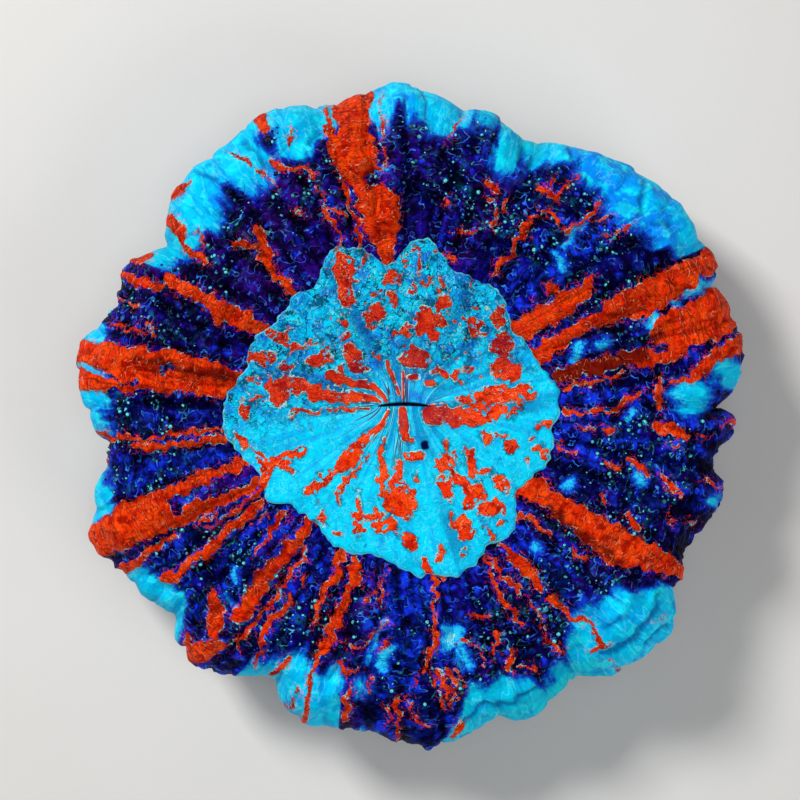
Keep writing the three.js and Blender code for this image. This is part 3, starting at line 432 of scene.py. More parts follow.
def band_field(plan: np.ndarray, bands: tuple, is_polar: bool = True) -> np.ndarray:
    """How deep each point lies inside the nearest band, in millimetres, and below 0 outside.

    Args:
        plan: Plan points about the mouth.
        bands: Runs of points, each with two coordinates and a half-width.
        is_polar: Whether the coordinates are angle and reach rather than x and y.

    Returns:
        The depth at each point.
    """
    depth = np.full(len(plan), -99.0)
    for band in bands:
        rows = np.array(band, dtype=float)
        spots = polar(rows[:, 0], rows[:, 1]) if is_polar else rows[:, :2]
        for start, end, wide, narrow in zip(spots[:-1], spots[1:], rows[:-1, 2], rows[1:, 2]):
            run = end - start
            share = np.clip(((plan - start) @ run) / max(run @ run, 1e-9), 0, 1)
            apart = np.hypot(*(plan - start - share[:, None] * run).T)
            depth = np.maximum(depth, wide + (narrow - wide) * share - apart)
    return depth


def spot_field(plan: np.ndarray, spots: tuple) -> np.ndarray:
    """How deep each point lies inside the nearest round spot given by angle, reach and radius."""
    depth = np.full(len(plan), -99.0)
    for angle, reach, radius in spots:
        centre = polar(np.array(angle), np.array(reach))
        depth = np.maximum(depth, radius - np.hypot(*(plan - centre).T))
    return depth


def blotch_field(plan: np.ndarray, blotches: tuple) -> np.ndarray:
    """How deep each point lies inside the nearest tilted oval, in millimetres."""
    depth = np.full(len(plan), -99.0)
    for x, y, width, height, tilt in blotches:
        turn = math.radians(tilt)
        across, up = plan[:, 0] - x, plan[:, 1] - y
        along_width = (across * math.cos(turn) + up * math.sin(turn)) / (width / 2)
        along_height = (up * math.cos(turn) - across * math.sin(turn)) / (height / 2)
        share = (np.abs(along_width) ** 2.6 + np.abs(along_height) ** 2.6) ** (1 / 2.6)
        depth = np.maximum(depth, (1 - share) * min(width, height) / 2)
    return depth


def margin_reach(angle: np.ndarray) -> np.ndarray:
    """How far the margin reaches: round at each lobe's crest, sharp at each notch."""
    stops = MARGIN_LOBES[:, [0, 2]].reshape(-1)
    values = MARGIN_LOBES[:, [1, 3]].reshape(-1)
    starts = (stops - stops[0]) % 360
    turn = (angle - stops[0]) % 360
    index = np.searchsorted(starts, turn, side="right") - 1
    ends = np.append(starts[1:], 360)
    share = (turn - starts[index]) / (ends[index] - starts[index])
    leaves_crest = index % 2 == 0
    after = values[(index + 1) % len(values)]
    crest = np.where(leaves_crest, values[index], after)
    notch = np.where(leaves_crest, after, values[index])
    from_notch = np.where(leaves_crest, 1 - share, share)
    return notch + (crest - notch) * np.sin(from_notch * np.pi / 2)


def enlarged(height: float | np.ndarray) -> float | np.ndarray:
    """How many times larger than it is a thing at a height looks from the camera."""
    return (CAMERA_HEIGHT - DRAWN_HEIGHT) / (CAMERA_HEIGHT - height)


def disc_reach(angle: np.ndarray) -> np.ndarray:
    """How far the oral disc reaches."""
    return around(angle, DISC_EDGE[:, 0], DISC_EDGE[:, 1]) / enlarged(DISC_HEIGHT)


def fold_at(angle: np.ndarray) -> tuple[np.ndarray, np.ndarray]:
    """Finds the fold at each angle.

    Args:
        angle: Where to look, in degrees.

    Returns:
        The fold's number, and how far from its crest the angle lies: 0 there and 1 in the grooves.
    """
    crests, widths = FOLDS[:, 0], FOLDS[:, 1]
    gaps = (np.roll(crests, -1) - crests) % 360
    grooves = crests + gaps * widths / (widths + np.roll(widths, -1))
    first = grooves[-1] - 360
    turn = (angle - first) % 360
    index = np.minimum(np.searchsorted(grooves - first, turn, side="right"), len(crests) - 1)
    before = (crests - np.roll(grooves, 1)) % 360
    after = (grooves - crests) % 360
    off_crest = (angle - crests[index] + 180) % 360 - 180
    side = off_crest / np.where(off_crest < 0, before[index], after[index])
    return index, np.clip(np.abs(side), 0, 1)


def along_section(place: np.ndarray) -> np.ndarray:
    """Reads the mantle's section at places counted in rows, on one smooth curve."""
    index = np.clip(np.floor(place).astype(int), 0, len(SECTION) - 2)
    t = (place - index)[:, None]
    a, b, c, d = (SECTION[np.clip(index + k, 0, len(SECTION) - 1)] for k in (-1, 0, 1, 2))
    bend = 2 * a - 5 * b + 4 * c - d
    twist = 3 * b - a - 3 * c + d
    return 0.5 * (2 * b + (c - a) * t + bend * t**2 + twist * t**3)


def linear(hex_colour: str) -> tuple[float, float, float, float]:
    """Turns an sRGB hex colour into Blender's linear colour with full alpha."""
    parts = [int(hex_colour[i : i + 2], 16) / 255 for i in (1, 3, 5)]
    return (*(p / 12.92 if p <= 0.04045 else ((p + 0.055) / 1.055) ** 2.4 for p in parts), 1.0)


def add_node(
    tree: bpy.types.NodeTree, kind: str, settings: dict | None = None, inputs: dict | None = None
) -> bpy.types.Node:
    """Adds a node with its settings, its values and its links.

    Args:
        tree: The node tree it goes into.
        kind: The node's Blender type.
        settings: Properties by name.
        inputs: Values or other nodes' output sockets, by input name or number.

    Returns:
        The new node.
    """
    node = tree.nodes.new(kind)
    for name, value in (settings or {}).items():
        setattr(node, name, value)
    for key, value in (inputs or {}).items():
        socket = node.inputs[key]
        if isinstance(value, bpy.types.NodeSocket):
            tree.links.new(value, socket)
        else:
            socket.default_value = value
    return node


def make_piece(name: str, points: np.ndarray, faces: list, fields: dict[str, np.ndarray]) -> bpy.types.Object:
    """Makes a smooth-shaded mesh object at the origin, with a number stored on every point for each field.

    Args:
        name: The piece's name.
        points: Places in metres.
        faces: Faces as lists of point numbers, facing out.
        fields: One number for each point, by name.

    Returns:
        The new object, linked into the scene.
    """
    mesh = bpy.data.meshes.new(name)
    mesh.from_pydata(points.tolist(), [], faces)
    mesh.shade_smooth()
    for field_name, values in fields.items():
        layer = mesh.attributes.new(field_name, "FLOAT", "POINT")
        layer.data.foreach_set("value", np.asarray(values, dtype=np.float32))
    piece = bpy.data.objects.new(name, mesh)
    bpy.context.scene.collection.objects.link(piece)
    return piece


def ring_faces(rings: int, columns: int, closed: bool) -> list:
    """Four-cornered faces of a grid of rings, whose points run ring by ring.

    Args:
        rings: How many rings there are.
        columns: How many points a ring has.
        closed: Whether the last ring joins the first.

    Returns:
        The faces, facing out when the rings run outwards over the top.
    """
    column = np.arange(columns)
    after = (column + 1) % columns
    faces = []
    for ring in range(rings if closed else rings - 1):
        inner, outer = ring * columns, ((ring + 1) % rings) * columns
        faces += np.stack([inner + column, outer + column, outer + after, inner + after], axis=1).tolist()
    return faces


def cap_faces(columns: int, last_ring: int, top: int, under: int) -> list:
    """Triangles that close the first ring about a top point and the last ring about one beneath."""
    faces = []
    for column in range(columns):
        after = (column + 1) % columns
        faces.append([top, column, after])
        faces.append([under, last_ring + after, last_ring + column])
    return faces


class Slot(Enum):
    """The record's material slots."""

    TISSUE = "living_tissue"


@dataclass(frozen=True)
class Skin:
    """How wet a tissue is, how much light it gives back, how much it fluoresces and how deep its relief looks."""

    roughness: float = 0.5
    ior: float = 1.36
    specular: float = 0.08
    body: float = 0.95
    glow: float = 0.16
    relief: float = 1.0


class Paint:
    """A material's node tree, with the textures that all the coral's finishes share."""

    def __init__(self, name: str) -> None:
        """Starts an empty material of that name."""
        self.material = bpy.data.materials.new(name)
        self.material.use_nodes = True
        self.tree = self.material.node_tree
        self.tree.nodes.clear()
        place = self.add("ShaderNodeTexCoord").outputs["Object"]
        self.place = self.vector("SCALE", place, Scale=1 / MM)

    def add(self, kind: str, settings: dict | None = None, inputs: dict | None = None) -> bpy.types.Node:
        """Adds a node to this material."""
        return add_node(self.tree, kind, settings, inputs)

    def field(self, name: str) -> bpy.types.NodeSocket:
        """Reads a number stored on the mesh."""
        return self.add("ShaderNodeAttribute", {"attribute_name": name}).outputs["Fac"]

    def vector(self, operation: str, *values: object, **named: object) -> bpy.types.NodeSocket:
        """Works one sum on vectors."""
        inputs = dict(enumerate(values)) | named
        return self.add("ShaderNodeVectorMath", {"operation": operation}, inputs).outputs[0]

    def math(self, operation: str, *values: object) -> bpy.types.NodeSocket:
        """Works one sum on sockets or numbers."""
        return self.add("ShaderNodeMath", {"operation": operation}, dict(enumerate(values))).outputs[0]

    def times(self, *values: object) -> bpy.types.NodeSocket:
        """Multiplies sockets and numbers together."""
        product = values[0]
        for value in values[1:]:
            product = self.math("MULTIPLY", product, value)
        return product

    def noise(self, size: float, detail: float = 2, shift: float = 0, roughness: float = 0.55) -> bpy.types.NodeSocket:
        """Noise with features of a size in millimetres, moved by a shift so that no two are alike."""
        moved = self.vector("ADD", self.place, (shift, shift / 2, -shift))
        inputs = {"Vector": moved, "Scale": 1 / size, "Detail": detail, "Roughness": roughness}
        return self.add("ShaderNodeTexNoise", None, inputs).outputs["Fac"]

    def streaks(self, width: float, length: float, shift: float = 0, heading: object = None) -> bpy.types.NodeSocket:
        """Noise drawn out into lines from the mouth.

        Args:
            width: How far apart the lines are, in degrees.
            length: How long they are, in millimetres.
            shift: Moves the noise, so that no two are alike.
            heading: The direction from the mouth, where the lines don't simply run straight out.

        Returns:
            The noise.
        """
        from_mouth = self.vector("SUBTRACT", self.place, (*MOUTH_AT, 0))
        plan = self.vector("MULTIPLY", from_mouth, (1, 1, 0))
        reach = self.add("ShaderNodeVectorMath", {"operation": "LENGTH"}, {0: plan}).outputs["Value"]
        heading = self.vector("SCALE", heading or self.vector("NORMALIZE", plan), Scale=57.3 / width)
        along = self.add("ShaderNodeCombineXYZ", None, {2: self.math("MULTIPLY_ADD", reach, 1 / length, shift)})
        inputs = {"Vector": self.vector("ADD", heading, along.outputs[0]), "Scale": 1.0, "Detail": 2.0}
        return self.add("ShaderNodeTexNoise", None, inputs).outputs["Fac"]

    def plates(self, value: bpy.types.NodeSocket, count: float) -> bpy.types.NodeSocket:
        """Cuts a noise into overlapping scalloped plates: the share of the way from each one's foot to its lip."""
        return self.math("FRACT", self.times(value, count))

    def step(self, value: bpy.types.NodeSocket, low: float, high: float) -> bpy.types.NodeSocket:
        """Rises smoothly from 0 at low to 1 at high, or falls where low is the greater."""
        falls = low > high
        inputs = {0: value, 1: min(low, high), 2: max(low, high), 3: float(falls), 4: float(not falls)}
        return self.add("ShaderNodeMapRange", {"interpolation_type": "SMOOTHSTEP"}, inputs).outputs[0]

    def line(self, value: bpy.types.NodeSocket, middle: float, half_width: float) -> bpy.types.NodeSocket:
        """A thin line of 1 where a value crosses the middle, fading to 0 at the half-width."""
        off = self.math("ABSOLUTE", self.math("SUBTRACT", value, middle))
        return self.step(off, half_width, half_width * 0.3)

    def mix(self, share: object, first: object, second: object) -> bpy.types.NodeSocket:
        """Mixes two colours, given as hex or as sockets."""
        colours = [linear(c) if isinstance(c, str) else c for c in (first, second)]
        inputs = {0: share, 6: colours[0], 7: colours[1]}
        return self.add("ShaderNodeMix", {"data_type": "RGBA"}, inputs).outputs[2]

    def finish(self, colour: object, height: bpy.types.NodeSocket, skin: Skin) -> bpy.types.Material:
        """Joins the colour and relief to the surface shader.

        Args:
            colour: The tissue's colour.
            height: Relief in millimetres.
            skin: The wetness and glow.

        Returns:
            The finished material.
        """
        bump = self.add("ShaderNodeBump", None, {"Height": height, "Distance": MM, "Strength": skin.relief})
        shader = self.add("ShaderNodeBsdfPrincipled", None, {
            "Base Color": self.mix(skin.body, "#000000", colour), "Normal": bump.outputs[0],
            "Roughness": skin.roughness, "IOR": skin.ior, "Specular IOR Level": skin.specular,
            "Emission Color": colour, "Emission Strength": skin.glow,
        })
        self.add("ShaderNodeOutputMaterial", None, {"Surface": shader.outputs[0]})
        return self.material


@dataclass(frozen=True)
class RedPigment:
    """Red fluorescent pigment: crinkled orange-red tissue, with painted shade in its wormy creases and grooves and
    painted highlights as hairline pale lines along the lips of its plates.
    """

    bright: str = "#FF4A0C"
    body: str = "#F03206"
    deep: str = "#BC1A04"
    # The crease colour is painted shade in creases and grooves.
    crease: str = "#7A1006"
    lip_highlight: str = "#FF9468"
    # The default maroon is the mantle's painted shade on its red bands; the disc sets its own.
    maroon: str = "#4C0606"

    def paint(self, paint: Paint, maroon: object) -> bpy.types.NodeSocket:
        """Gives the pigment's colour, darkened towards maroon by the share given: painted shade on the mantle's bands,
        darker pigment on the disc.
        """
        colour = paint.mix(paint.step(paint.noise(3.2, 2, 11), 0.42, 0.58), self.bright, self.body)
        colour = paint.mix(paint.step(paint.noise(2.6, 2, 31), 0.5, 0.66), colour, self.deep)
        colour = paint.mix(paint.times(maroon, 0.85), colour, self.maroon)
        # Painted shade at the foot of each crosswise plate.
        plate = paint.plates(paint.streaks(5, 2.2, 47), 7)
        colour = paint.mix(paint.times(paint.step(plate, 0.4, 0.0), 0.65), colour, self.crease)
        # Painted shade: dark lines along grooves that run out from the mouth, in patches.
        groove = paint.line(paint.streaks(2.6, 16, 21), 0.45, 0.04)
        colour = paint.mix(paint.times(groove, paint.step(paint.noise(5, 1, 69), 0.4, 0.55), 0.6), colour, self.crease)
        # Painted highlight: a pale hairline along each plate's lip, in patches.
        strength = paint.step(paint.noise(4, 1, 77), 0.38, 0.56)
        return paint.mix(paint.times(paint.line(plate, 0.9, 0.09), strength, 0.65), colour, self.lip_highlight)


@dataclass(frozen=True)
class MantleTissue:
    """Fleshy mantle tissue: wet, and given a faint glow of its own colours so that they look lit from within.

    The folds are navy with royal and violet shades and teal threads, the puffed caps are smooth turquoise, and
    frayed red bands with hairline pale rims run over both.
    """

    skin: Skin = Skin(specular=0.03)
    red: RedPigment = RedPigment()
    painted_shade: str = "#010009"
    under: str = "#061C62"
    navy: str = "#0C0888"
    midnight: str = "#070446"
    royal: str = "#1438F0"
    violet: str = "#3C0A86"
    teal: str = "#0A5A80"
    royal_highlight: str = "#3070FF"
    teal_highlight: str = "#50CCD4"
    blue: str = "#1044D8"
    azure: str = "#0892FA"
    turquoise: str = "#02C4F8"
    bright_turquoise: str = "#10E4FF"
    cap_teal: str = "#04BCC0"
    cap_shade: str = "#0668C8"
    cap_fold_shadow: str = "#063C80"
    glow: str = "#24CCFC"
    flare: str = "#A8FCFF"
    pale: str = "#80F4FF"
    rim: str = "#8CE8F0"
    warm_rim: str = "#FFA888"

    def strokes(self, paint: Paint) -> bpy.types.NodeSocket:
        """The short wavy plates, drawn out crosswise, that the dark folds are broken into."""
        return paint.plates(paint.streaks(4.6, 2.7, 57), 5)

    def dark_folds(self, paint: Paint) -> bpy.types.NodeSocket:
        """The navy folds with royal and teal flecks and radial streaks near the disc, with painted shade in dark
        patches, in the valleys and at the foot of each plate, and painted highlights as fine royal and teal lines along
        the plates' lips.
        """
        royal, papillate = paint.field("royal"), paint.field("papillate")
        colour = paint.mix(paint.step(paint.noise(2.6, 2, 17), 0.4, 0.6), self.midnight, self.navy)
        smear = paint.times(paint.field("violet"), paint.step(paint.noise(4, 2, 61), 0.3, 0.55))
        colour = paint.mix(smear, colour, self.violet)
        fleck = paint.math("MULTIPLY_ADD", royal, 0.33, paint.noise(2.6, 1.5, 3))
        colour = paint.mix(paint.step(fleck, 0.62, 0.86), colour, self.royal)
        streak = paint.math("MULTIPLY_ADD", royal, 0.16, paint.streaks(1.6, 7))
        near_disc = paint.step(paint.field("inward"), 17, 9)
        colour = paint.mix(paint.times(paint.step(streak, 0.58, 0.74), near_disc, 0.6), colour, self.royal)
        murk = paint.times(paint.step(paint.noise(2.4, 1.5, 91), 0.5, 0.62), papillate)
        colour = paint.mix(murk, colour, self.teal)
        # Painted shade: near-black patches, the valleys between the folds and the foot of each plate.
        depths = paint.times(paint.step(paint.noise(4.4, 2, 53), 0.46, 0.34), 0.8)
        colour = paint.mix(depths, colour, self.painted_shade)
        valley = paint.times(paint.step(paint.field("crest"), 0.55, 0.05), 0.6)
        colour = paint.mix(valley, colour, self.painted_shade)
        plate = self.strokes(paint)
        colour = paint.mix(paint.times(paint.step(plate, 0.5, 0.0), 0.8), colour, self.painted_shade)
        # Painted highlights: royal and teal hairlines along the plates' lips, in patches.
        lip = paint.line(plate, 0.88, 0.1)
        shown = paint.times(lip, paint.step(paint.noise(3.4, 1, 27), 0.46, 0.6))
        colour = paint.mix(shown, colour, self.royal_highlight)
        lively = paint.math("MULTIPLY_ADD", papillate, 0.7, 0.2)
        shown = paint.times(lip, paint.step(paint.noise(2.4, 1, 5), 0.48, 0.56), lively)
        return paint.mix(shown, colour, self.teal_highlight)

    def caps(self, paint: Paint, depth: bpy.types.NodeSocket) -> bpy.types.NodeSocket:
        """The smooth caps, azure where they begin and turquoise further in, with painted shade in their creases and
        along their folds, and wrinkles drawn as a line of painted shade beside a painted highlight.
        """
        further = paint.math("MULTIPLY_ADD", paint.noise(6, 2, 23), 16.0, depth)
        further = paint.math("MULTIPLY_ADD", paint.field("teal"), 8.0, further)
        colour = paint.mix(paint.step(further, 6.5, 12), self.azure, self.turquoise)
        colour = paint.mix(paint.step(paint.noise(3.4, 3, 37), 0.48, 0.64), colour, self.bright_turquoise)
        colour = paint.mix(paint.times(paint.field("teal"), 0.75), colour, self.cap_teal)
        # Painted shade in mottled creases.
        crease = paint.step(paint.noise(4.6, 2, 71), 0.52, 0.7)
        colour = paint.mix(paint.times(crease, 0.45), colour, self.cap_shade)
        # Wrinkles: a line of painted shade with a pale painted highlight beside it.
        wrinkle = paint.streaks(2.2, 7, 29)
        colour = paint.mix(paint.times(paint.line(wrinkle, 0.46, 0.06), 0.25), colour, self.cap_shade)
        colour = paint.mix(paint.times(paint.line(wrinkle, 0.54, 0.02), 0.2), colour, self.pale)
        # Painted fold shadows along the listed creases.
        return paint.mix(paint.times(paint.field("crease"), 0.65), colour, self.cap_fold_shadow)

    def ledge(self, paint: Paint, plate: bpy.types.NodeSocket) -> bpy.types.NodeSocket:
        """The height of a plate in millimetres, which falls off just past its lip."""
        return paint.times(plate, paint.step(plate, 1.0, 0.8), 0.5)

    def build(self) -> bpy.types.Material:
        """Makes the material."""
        paint = Paint("mantle_tissue")
        fray = paint.math("SUBTRACT", paint.noise(0.9, 4, 41, 0.65), 0.5)
        streaked = paint.math("SUBTRACT", paint.streaks(2.2, 12, 4), 0.5)
        red_depth = paint.math("SUBTRACT", paint.math("MULTIPLY_ADD", fray, 1.7, paint.field("red")), 0.12)
        cap_depth = paint.math("MULTIPLY_ADD", fray, 3.0, paint.field("cap"))
        cap_depth = paint.math("MULTIPLY_ADD", streaked, 7.0, cap_depth)
        glow_depth = paint.math("MULTIPLY_ADD", fray, 3.0, paint.field("glow"))
        fine = paint.noise(0.8, 3, 13)
        # Painted shade where the relief has pits and in the grooves between folds.
        lump = paint.math("MULTIPLY_ADD", fine, 1.1, paint.field("relief"))
        pit = paint.step(lump, 0.6, 0.1)
        groove = paint.times(paint.step(paint.field("crest"), 0.2, 0.0), 0.6)
        shadow = paint.math("MAXIMUM", paint.times(pit, 0.8), groove)

        colour = paint.mix(shadow, self.dark_folds(paint), self.painted_shade)
        colour = paint.mix(paint.step(glow_depth, -1.1, 0.3), colour, self.blue)
        colour = paint.mix(paint.step(glow_depth, -0.3, 0.9), colour, self.glow)
        # Painted highlight: a pale flare at the cores of the widest spots.
        colour = paint.mix(paint.step(glow_depth, 1.3, 1.9), colour, self.flare)
        colour = paint.mix(paint.times(paint.step(cap_depth, -2.4, 0.4), 0.9), colour, self.blue)
        # Painted shade on the caps, in the cap shade colour.
        caps = paint.mix(paint.times(shadow, 0.3), self.caps(paint, cap_depth), self.cap_shade)
        colour = paint.mix(paint.step(cap_depth, -0.9, 1.2), colour, caps)
        filament = paint.times(paint.line(paint.noise(2.4, 2, 63), 0.5, 0.016), paint.step(red_depth, -1.5, -0.3), 0.8)
        colour = paint.mix(filament, colour, self.red.body)
        red_shadow = paint.times(shadow, 0.4)
        red = paint.mix(red_shadow, self.red.paint(paint, paint.field("maroon")), self.red.crease)
        colour = paint.mix(paint.step(red_depth, -0.1, 0.06), colour, red)
        shown = paint.step(paint.noise(2.0, 2, 97), 0.52, 0.6)
        rim = paint.times(paint.line(red_depth, -0.07, 0.13), shown)
        rim_colour = paint.mix(paint.step(paint.noise(3, 1, 7), 0.47, 0.53), self.rim, self.warm_rim)
        colour = paint.mix(rim, colour, rim_colour)
        # Beneath the margin the tissue is drawn darker in streaks, partly duller tissue and partly painted shade under
        # the overhang, with painted shade in the fold valleys there.
        striped = paint.math("MULTIPLY_ADD", paint.streaks(3, 14, 33), 1.6, 0.9)
        striped = paint.math("MULTIPLY_ADD", paint.field("crest"), -0.9, striped)
        dull_and_shaded_beneath = paint.times(paint.field("beneath"), striped)
        colour = paint.mix(paint.times(paint.step(dull_and_shaded_beneath, 0.15, 0.9), 0.85), colour, self.under)

        capped = paint.times(paint.step(cap_depth, -1, 1), paint.step(red_depth, 0.3, -0.3))
        rough = paint.math("MULTIPLY_ADD", capped, -0.75, 1.0)
        scalloped = self.ledge(paint, self.strokes(paint))
        shingled = self.ledge(paint, paint.plates(paint.streaks(5, 2.2, 47), 7))
        is_red = paint.step(red_depth, -0.2, 0.2)
        ledge = paint.math("MULTIPLY_ADD", paint.math("SUBTRACT", shingled, scalloped), is_red, scalloped)
        grit = paint.times(fine, paint.math("MULTIPLY_ADD", is_red, 0.5, 0.7))
        height = paint.times(paint.math("ADD", grit, ledge), rough)
        return paint.finish(colour, height, self.skin)


@dataclass(frozen=True)
class DiscTissue:
    """Taut tissue of the oral disc: bright turquoise with crumbly red blotches and hairline pale rims."""

    skin: Skin = Skin(specular=0.05)
    red: RedPigment = RedPigment(maroon="#840A30")
    bright: str = "#04D6FA"
    turquoise: str = "#06BAF0"
    azure: str = "#0E86E0"
    blue: str = "#2070DC"
    teal: str = "#04546E"
    teal_shade: str = "#044C70"
    deep_azure: str = "#0A4E9C"
    crack: str = "#02283C"
    pale: str = "#78F4FF"
    rim: str = "#B0F4F4"
    warm_rim: str = "#F0A890"
    navy: str = "#03063A"
    wine: str = "#4A1030"

    def crumbs(self, paint: Paint) -> bpy.types.NodeSocket:
        """The crumb-sized plates that the disc's surface is broken into."""
        return paint.plates(paint.noise(3.0, 3, 113), 6)

    def ground(self, paint: Paint) -> bpy.types.NodeSocket:
        """The turquoise ground: bluer and grainier above, with lines that run to the mouth, painted shade in the
        pleats' furrows and at the foot of each crumb, and painted highlights along the crumbs' lips.
        """
        grain = paint.field("grain")
        azure = paint.math("MULTIPLY_ADD", paint.noise(4.5, 3, 7), 4.0, paint.field("azure"))
        colour = paint.mix(paint.step(azure, 2.2, 2.8), self.bright, self.turquoise)
        colour = paint.mix(paint.step(azure, 2.8, 3.2), colour, self.azure)
        patch = paint.times(paint.step(paint.noise(3.6, 2, 123), 0.54, 0.64), grain)
        colour = paint.mix(paint.times(patch, 0.8), colour, self.blue)
        murk = paint.times(paint.step(paint.noise(3, 3, 133), 0.555, 0.62), grain)
        colour = paint.mix(paint.times(murk, 0.95), colour, self.teal)
        # Painted shade at the foot of each crumb, and a painted highlight along its lip.
        plate = self.crumbs(paint)
        fine = paint.math("MULTIPLY_ADD", grain, 0.42, 0.12)
        colour = paint.mix(paint.times(paint.step(plate, 0.34, 0.0), fine), colour, self.teal_shade)
        colour = paint.mix(paint.times(paint.line(plate, 0.86, 0.14), fine), colour, self.pale)
        crack = paint.times(paint.line(paint.noise(5, 3, 143), 0.5, 0.012), grain)
        colour = paint.mix(crack, colour, self.crack)
        flow = paint.add("ShaderNodeCombineXYZ", None, {0: paint.field("flow_x"), 1: paint.field("flow_y")}).outputs[0]
        near_mouth = paint.step(paint.field("from_mouth"), 17, 6)
        threads = paint.streaks(10, 40, 3, flow)
        colour = paint.mix(paint.times(paint.step(threads, 0.52, 0.58), near_mouth, 0.6), colour, self.deep_azure)
        colour = paint.mix(paint.times(paint.line(threads, 0.46, 0.03), near_mouth, 0.95), colour, self.wine)
        colour = paint.mix(paint.times(paint.line(threads, 0.43, 0.015), near_mouth, 0.6), colour, self.pale)
        wide_lines = paint.step(paint.streaks(3.2, 18, 8, flow), 0.48, 0.66)
        colour = paint.mix(paint.times(wide_lines, 0.4), colour, self.azure)
        # Painted shade in the furrows between the pleats.
        return paint.mix(paint.times(paint.field("furrow_shade"), 0.6), colour, self.deep_azure)

    def build(self) -> bpy.types.Material:
        """Makes the material."""
        paint = Paint("oral_disc_tissue")
        fray = paint.math("SUBTRACT", paint.noise(0.9, 4, 43, 0.65), 0.5)
        fleck = paint.math("MULTIPLY_ADD", paint.noise(1.8, 2, 153), 9, -6.0)
        sparse = paint.math("MULTIPLY_ADD", paint.field("grain"), 1.0, -1.2)
        blotch = paint.math("MAXIMUM", paint.field("red"), paint.math("ADD", fleck, sparse))
        hole = paint.times(paint.step(paint.noise(1.6, 2, 163), 0.57, 0.66), paint.field("fray"), -0.8)
        depth = paint.math("MULTIPLY_ADD", fray, paint.field("fray"), paint.math("ADD", blotch, hole))
        # Painted shade beside the raised red blotches, in patches.
        shade = paint.times(paint.step(depth, -0.9, -0.1), paint.step(paint.noise(3, 2, 83), 0.4, 0.6), 0.85)
        colour = paint.mix(shade, self.ground(paint), self.teal_shade)
        colour = paint.mix(paint.step(depth, -0.06, 0.05), colour, self.red.paint(paint, paint.field("maroon")))
        shown = paint.step(paint.noise(2, 2, 59), 0.42, 0.52)
        halo = paint.times(paint.line(depth, -0.1, 0.15), shown)
        warm = paint.step(paint.noise(3, 1, 67), 0.5, 0.6)
        colour = paint.mix(halo, colour, paint.mix(warm, self.rim, self.warm_rim))
        # Painted highlight: a pale line along the rolled lip, in patches.
        edge = paint.times(paint.step(paint.field("share"), 0.985, 0.992), paint.step(paint.noise(5, 2, 87), 0.4, 0.56), 0.8)
        colour = paint.mix(edge, colour, self.pale)
        colour = paint.mix(paint.field("navy"), colour, self.navy)
        grain = paint.math("MULTIPLY_ADD", paint.field("grain"), 1.1, -0.12)
        plate = self.crumbs(paint)
        bumps = paint.math("ADD", paint.noise(0.8, 3, 73), paint.times(plate, paint.step(plate, 1.0, 0.8), 0.5))
        raised = paint.times(paint.step(depth, -0.2, 0.2), 0.4)
        return paint.finish(colour, paint.math("MULTIPLY_ADD", bumps, grain, raised), self.skin)


@dataclass(frozen=True)
class PapillaSkin:
    """Thin skin of the papillae: clear little blisters, some with a painted highlight as a pale crescent on the side
    drawn as lit, and painted shade on the far side.
    """

    skin: Skin = Skin(roughness=0.35, specular=0.3, relief=0.1)
    midnight: str = "#08053C"
    royal: str = "#1230C0"
    teal: str = "#063A54"
    bright_teal: str = "#107084"
    pale: str = "#6CE0EC"

    def build(self) -> bpy.types.Material:
        """Makes the material."""
        paint = Paint("papilla_skin")
        tint, lit_side = paint.field("tint"), paint.field("lit_side")
        colour = paint.mix(paint.step(tint, 0.42, 0.5), self.midnight, self.royal)
        colour = paint.mix(paint.step(tint, 0.58, 0.64), colour, self.teal)
        colour = paint.mix(paint.step(tint, 0.9, 0.94), colour, self.bright_teal)
        # Painted highlight: a pale crescent on the lit side of the brighter beads.
        painted_highlight = paint.times(paint.line(lit_side, 0.78, 0.2), paint.step(tint, 0.6, 0.95))
        colour = paint.mix(painted_highlight, colour, self.pale)
        # Painted shade on the side away from the light.
        colour = paint.mix(paint.step(lit_side, 0.2, -0.4), colour, self.midnight)
        return paint.finish(colour, paint.noise(0.6, 1, 5), self.skin)


@dataclass(frozen=True)
class CoralLimestone:
    """Aragonite grown by the coral: pale, chalky and porous, so it is dull with fine pits."""

    skin: Skin = Skin(roughness=0.85, ior=1.53, specular=0.3, body=0.85, glow=0.0)
    pale: str = "#D9D2C0"
    shade: str = "#9C917C"
    stain: str = "#7A5470"

    def build(self) -> bpy.types.Material:
        """Makes the material."""
        paint = Paint("coral_limestone")
        colour = paint.mix(paint.step(paint.noise(2, 4, 9), 0.4, 0.65), self.pale, self.shade)
        colour = paint.mix(paint.math("MULTIPLY", paint.step(paint.streaks(1.8, 30), 0.5, 0.6), 0.5), colour, self.shade)
        patch = paint.math("MULTIPLY", paint.step(paint.noise(9, 3, 37), 0.5, 0.64), 0.7)
        return paint.finish(paint.mix(patch, colour, self.stain), paint.noise(0.7, 4, 15), self.skin)


